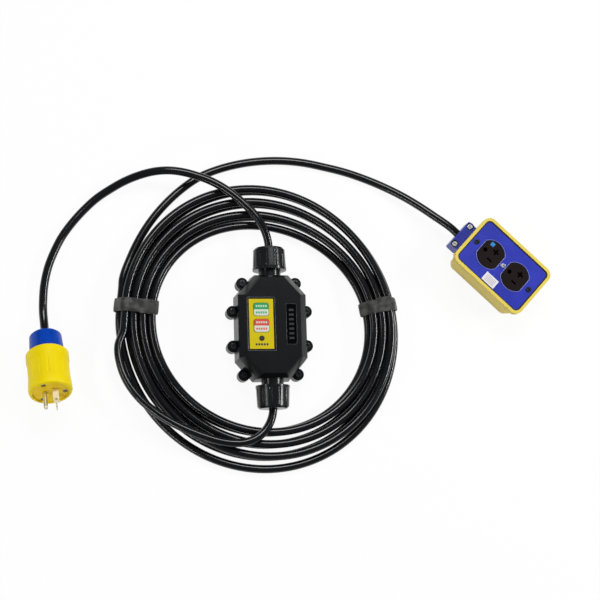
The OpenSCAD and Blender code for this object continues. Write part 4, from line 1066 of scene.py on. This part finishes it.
CAMERA_TURN, CAMERA_TILT = math.radians(10.5), math.radians(10.2)   # off straight down
CAMERA_AIM, CAMERA_AWAY, CAMERA_LENS = Vector((0.0395, 0.037, 0)), 1.6, 81.36
FLOOR_Z = -0.0003    # a hair below the cords, so that no face of theirs lies in it
FLOOR_HALF = 4
FLOOR_SHARE = 0.93   # how much of the floor is plain white; the rest carries the shadow
LAMP_AIM = (0.02, 0.02, 0.02)
LAMPS = {   # place, size and watts
    "left_strip": ((-1.4, -0.2, 1.05), (0.9, 0.2), 5),
    "right_strip": ((1.5, 0.1, 1.0), (0.9, 0.12), 19),
    "front_low": ((-1.0, -1.15, 0.75), (0.8, 0.12), 6.5),
    "back_soft": ((0.1, 1.05, 1.7), (1.2, 0.6), 23),
}


def lamp(name, place, size, power):
    """A soft rectangular lamp that points at the unit."""
    data = bpy.data.lights.new(name, "AREA")
    data.shape, data.size, data.size_y = "RECTANGLE", *size
    data.energy = power
    obj = bpy.data.objects.new(name, data)
    bpy.context.scene.collection.objects.link(obj)
    obj.location = place
    way = Vector(LAMP_AIM) - Vector(place)
    obj.rotation_euler = way.to_track_quat("-Z", "Y").to_euler()


class SHORE_OT_stage(bpy.types.Operator):
    """Sets the pale floor, the soft lamps and the camera above the cord"""

    bl_idname = "shore.stage"
    bl_label = "Stage"

    def execute(self, context):
        scene = context.scene
        back = Vector((-math.tan(CAMERA_TURN), -math.tan(CAMERA_TILT), 1)).normalized()
        right = (Vector((1, 0, 0)) - back * back.x).normalized()
        data = bpy.data.cameras.new("camera")
        data.sensor_width, data.lens = 36.0, CAMERA_LENS
        data.clip_start, data.clip_end = 0.05, 20
        camera = bpy.data.objects.new("camera", data)
        scene.collection.objects.link(camera)
        turned = Matrix((right, back.cross(right), back)).transposed().to_4x4()
        turned.translation = CAMERA_AIM + back * CAMERA_AWAY
        camera.matrix_world = turned
        scene.camera = camera

        bm = bmesh.new()
        half = FLOOR_HALF
        bm.faces.new(bm.verts.new((x * half, y * half, FLOOR_Z)) for x, y in CORNERS)
        mesh = bpy.data.meshes.new("floor")
        bm.to_mesh(mesh)
        bm.free()
        floor = bpy.data.objects.new("floor", mesh)
        scene.collection.objects.link(floor)
        mesh.materials.append(pale_floor())

        # the room is dim and cool to everything but the camera, which sees white
        world = bpy.data.worlds.new("studio")
        world.use_nodes = True
        tree = world.node_tree
        tree.nodes.clear()
        seen = add(tree, "ShaderNodeLightPath").outputs["Is Camera Ray"]
        tone = {"Color": (0.9, 0.95, 1.0, 1), "Strength": 0.14}
        room = add(tree, "ShaderNodeBackground", tone)
        card = add(tree, "ShaderNodeBackground", {"Color": (1, 1, 1, 1), "Strength": 1.0})
        inputs = {0: seen, 1: room.outputs[0], 2: card.outputs[0]}
        pick = add(tree, "ShaderNodeMixShader", inputs)
        add(tree, "ShaderNodeOutputWorld", {"Surface": pick.outputs[0]})
        scene.world = world

        for name, (place, size, power) in LAMPS.items():
            lamp(name, place, size, power)
        scene.view_settings.view_transform = "Standard"
        return {"FINISHED"}


def pale_floor():
    """Seamless white board: the eye sees it white with the object's own soft shadow."""
    mat = bpy.data.materials.new("seamless_board")
    mat.use_nodes = True
    tree = mat.node_tree
    tree.nodes.clear()
    path = add(tree, "ShaderNodeLightPath").outputs
    board = add(tree, "ShaderNodeBsdfDiffuse", {"Color": (0.86, 0.86, 0.86, 1)})
    white = add(tree, "ShaderNodeEmission", {"Color": (1, 1, 1, 1), "Strength": 1.0})
    seen = calculate(tree, "MAXIMUM", path["Is Camera Ray"], path["Is Glossy Ray"])
    seen = calculate(tree, "MAXIMUM", seen, path["Is Transmission Ray"])
    share = calculate(tree, "MULTIPLY", seen, FLOOR_SHARE)
    inputs = {0: share, 1: board.outputs[0], 2: white.outputs[0]}
    mix = add(tree, "ShaderNodeMixShader", inputs)
    add(tree, "ShaderNodeOutputMaterial", {"Surface": mix.outputs[0]})
    return mat


# ---------------------------- panel and registration

OPERATORS = [
    SHORE_OT_stage, SHORE_OT_cords, SHORE_OT_straps, SHORE_OT_unit, SHORE_OT_glands,
    SHORE_OT_controls, SHORE_OT_works, SHORE_OT_plug, SHORE_OT_box, SHORE_OT_outlets,
    SHORE_OT_declare,
]
GROUPS = {
    "shore_sizes": ShoreCordSizes,
    "shore_edges": ShoreCordEdges,
    "shore_colours": ShoreCordColours,
}


class SHORE_PT_panel(bpy.types.Panel):
    """Lists the pieces, the sizes and the colours"""

    bl_label = "Shore Cord"
    bl_idname = "SHORE_PT_panel"
    bl_space_type = "VIEW_3D"
    bl_region_type = "UI"
    bl_category = "Shore Cord"

    def draw(self, context):
        for operator in OPERATORS:
            self.layout.operator(operator.bl_idname)
        for name, group in GROUPS.items():
            box = self.layout.box()
            for item in group.__annotations__:
                box.prop(getattr(context.scene, name), item)


def register():
    for cls in (*GROUPS.values(), *OPERATORS, SHORE_PT_panel):
        bpy.utils.register_class(cls)
    for name, group in GROUPS.items():
        setattr(bpy.types.Scene, name, bpy.props.PointerProperty(type=group))


def unregister():
    for name in GROUPS:
        delattr(bpy.types.Scene, name)
    for cls in (SHORE_PT_panel, *reversed(OPERATORS), *reversed(GROUPS.values())):
        bpy.utils.unregister_class(cls)


def main():
    """Registers the add-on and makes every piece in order."""
    register()
    for operator in OPERATORS:
        group, name = operator.bl_idname.split(".")
        if getattr(getattr(bpy.ops, group), name)() != {"FINISHED"}:
            raise RuntimeError(operator.bl_idname + " did not finish")


if __name__ == "__main__":
    main()
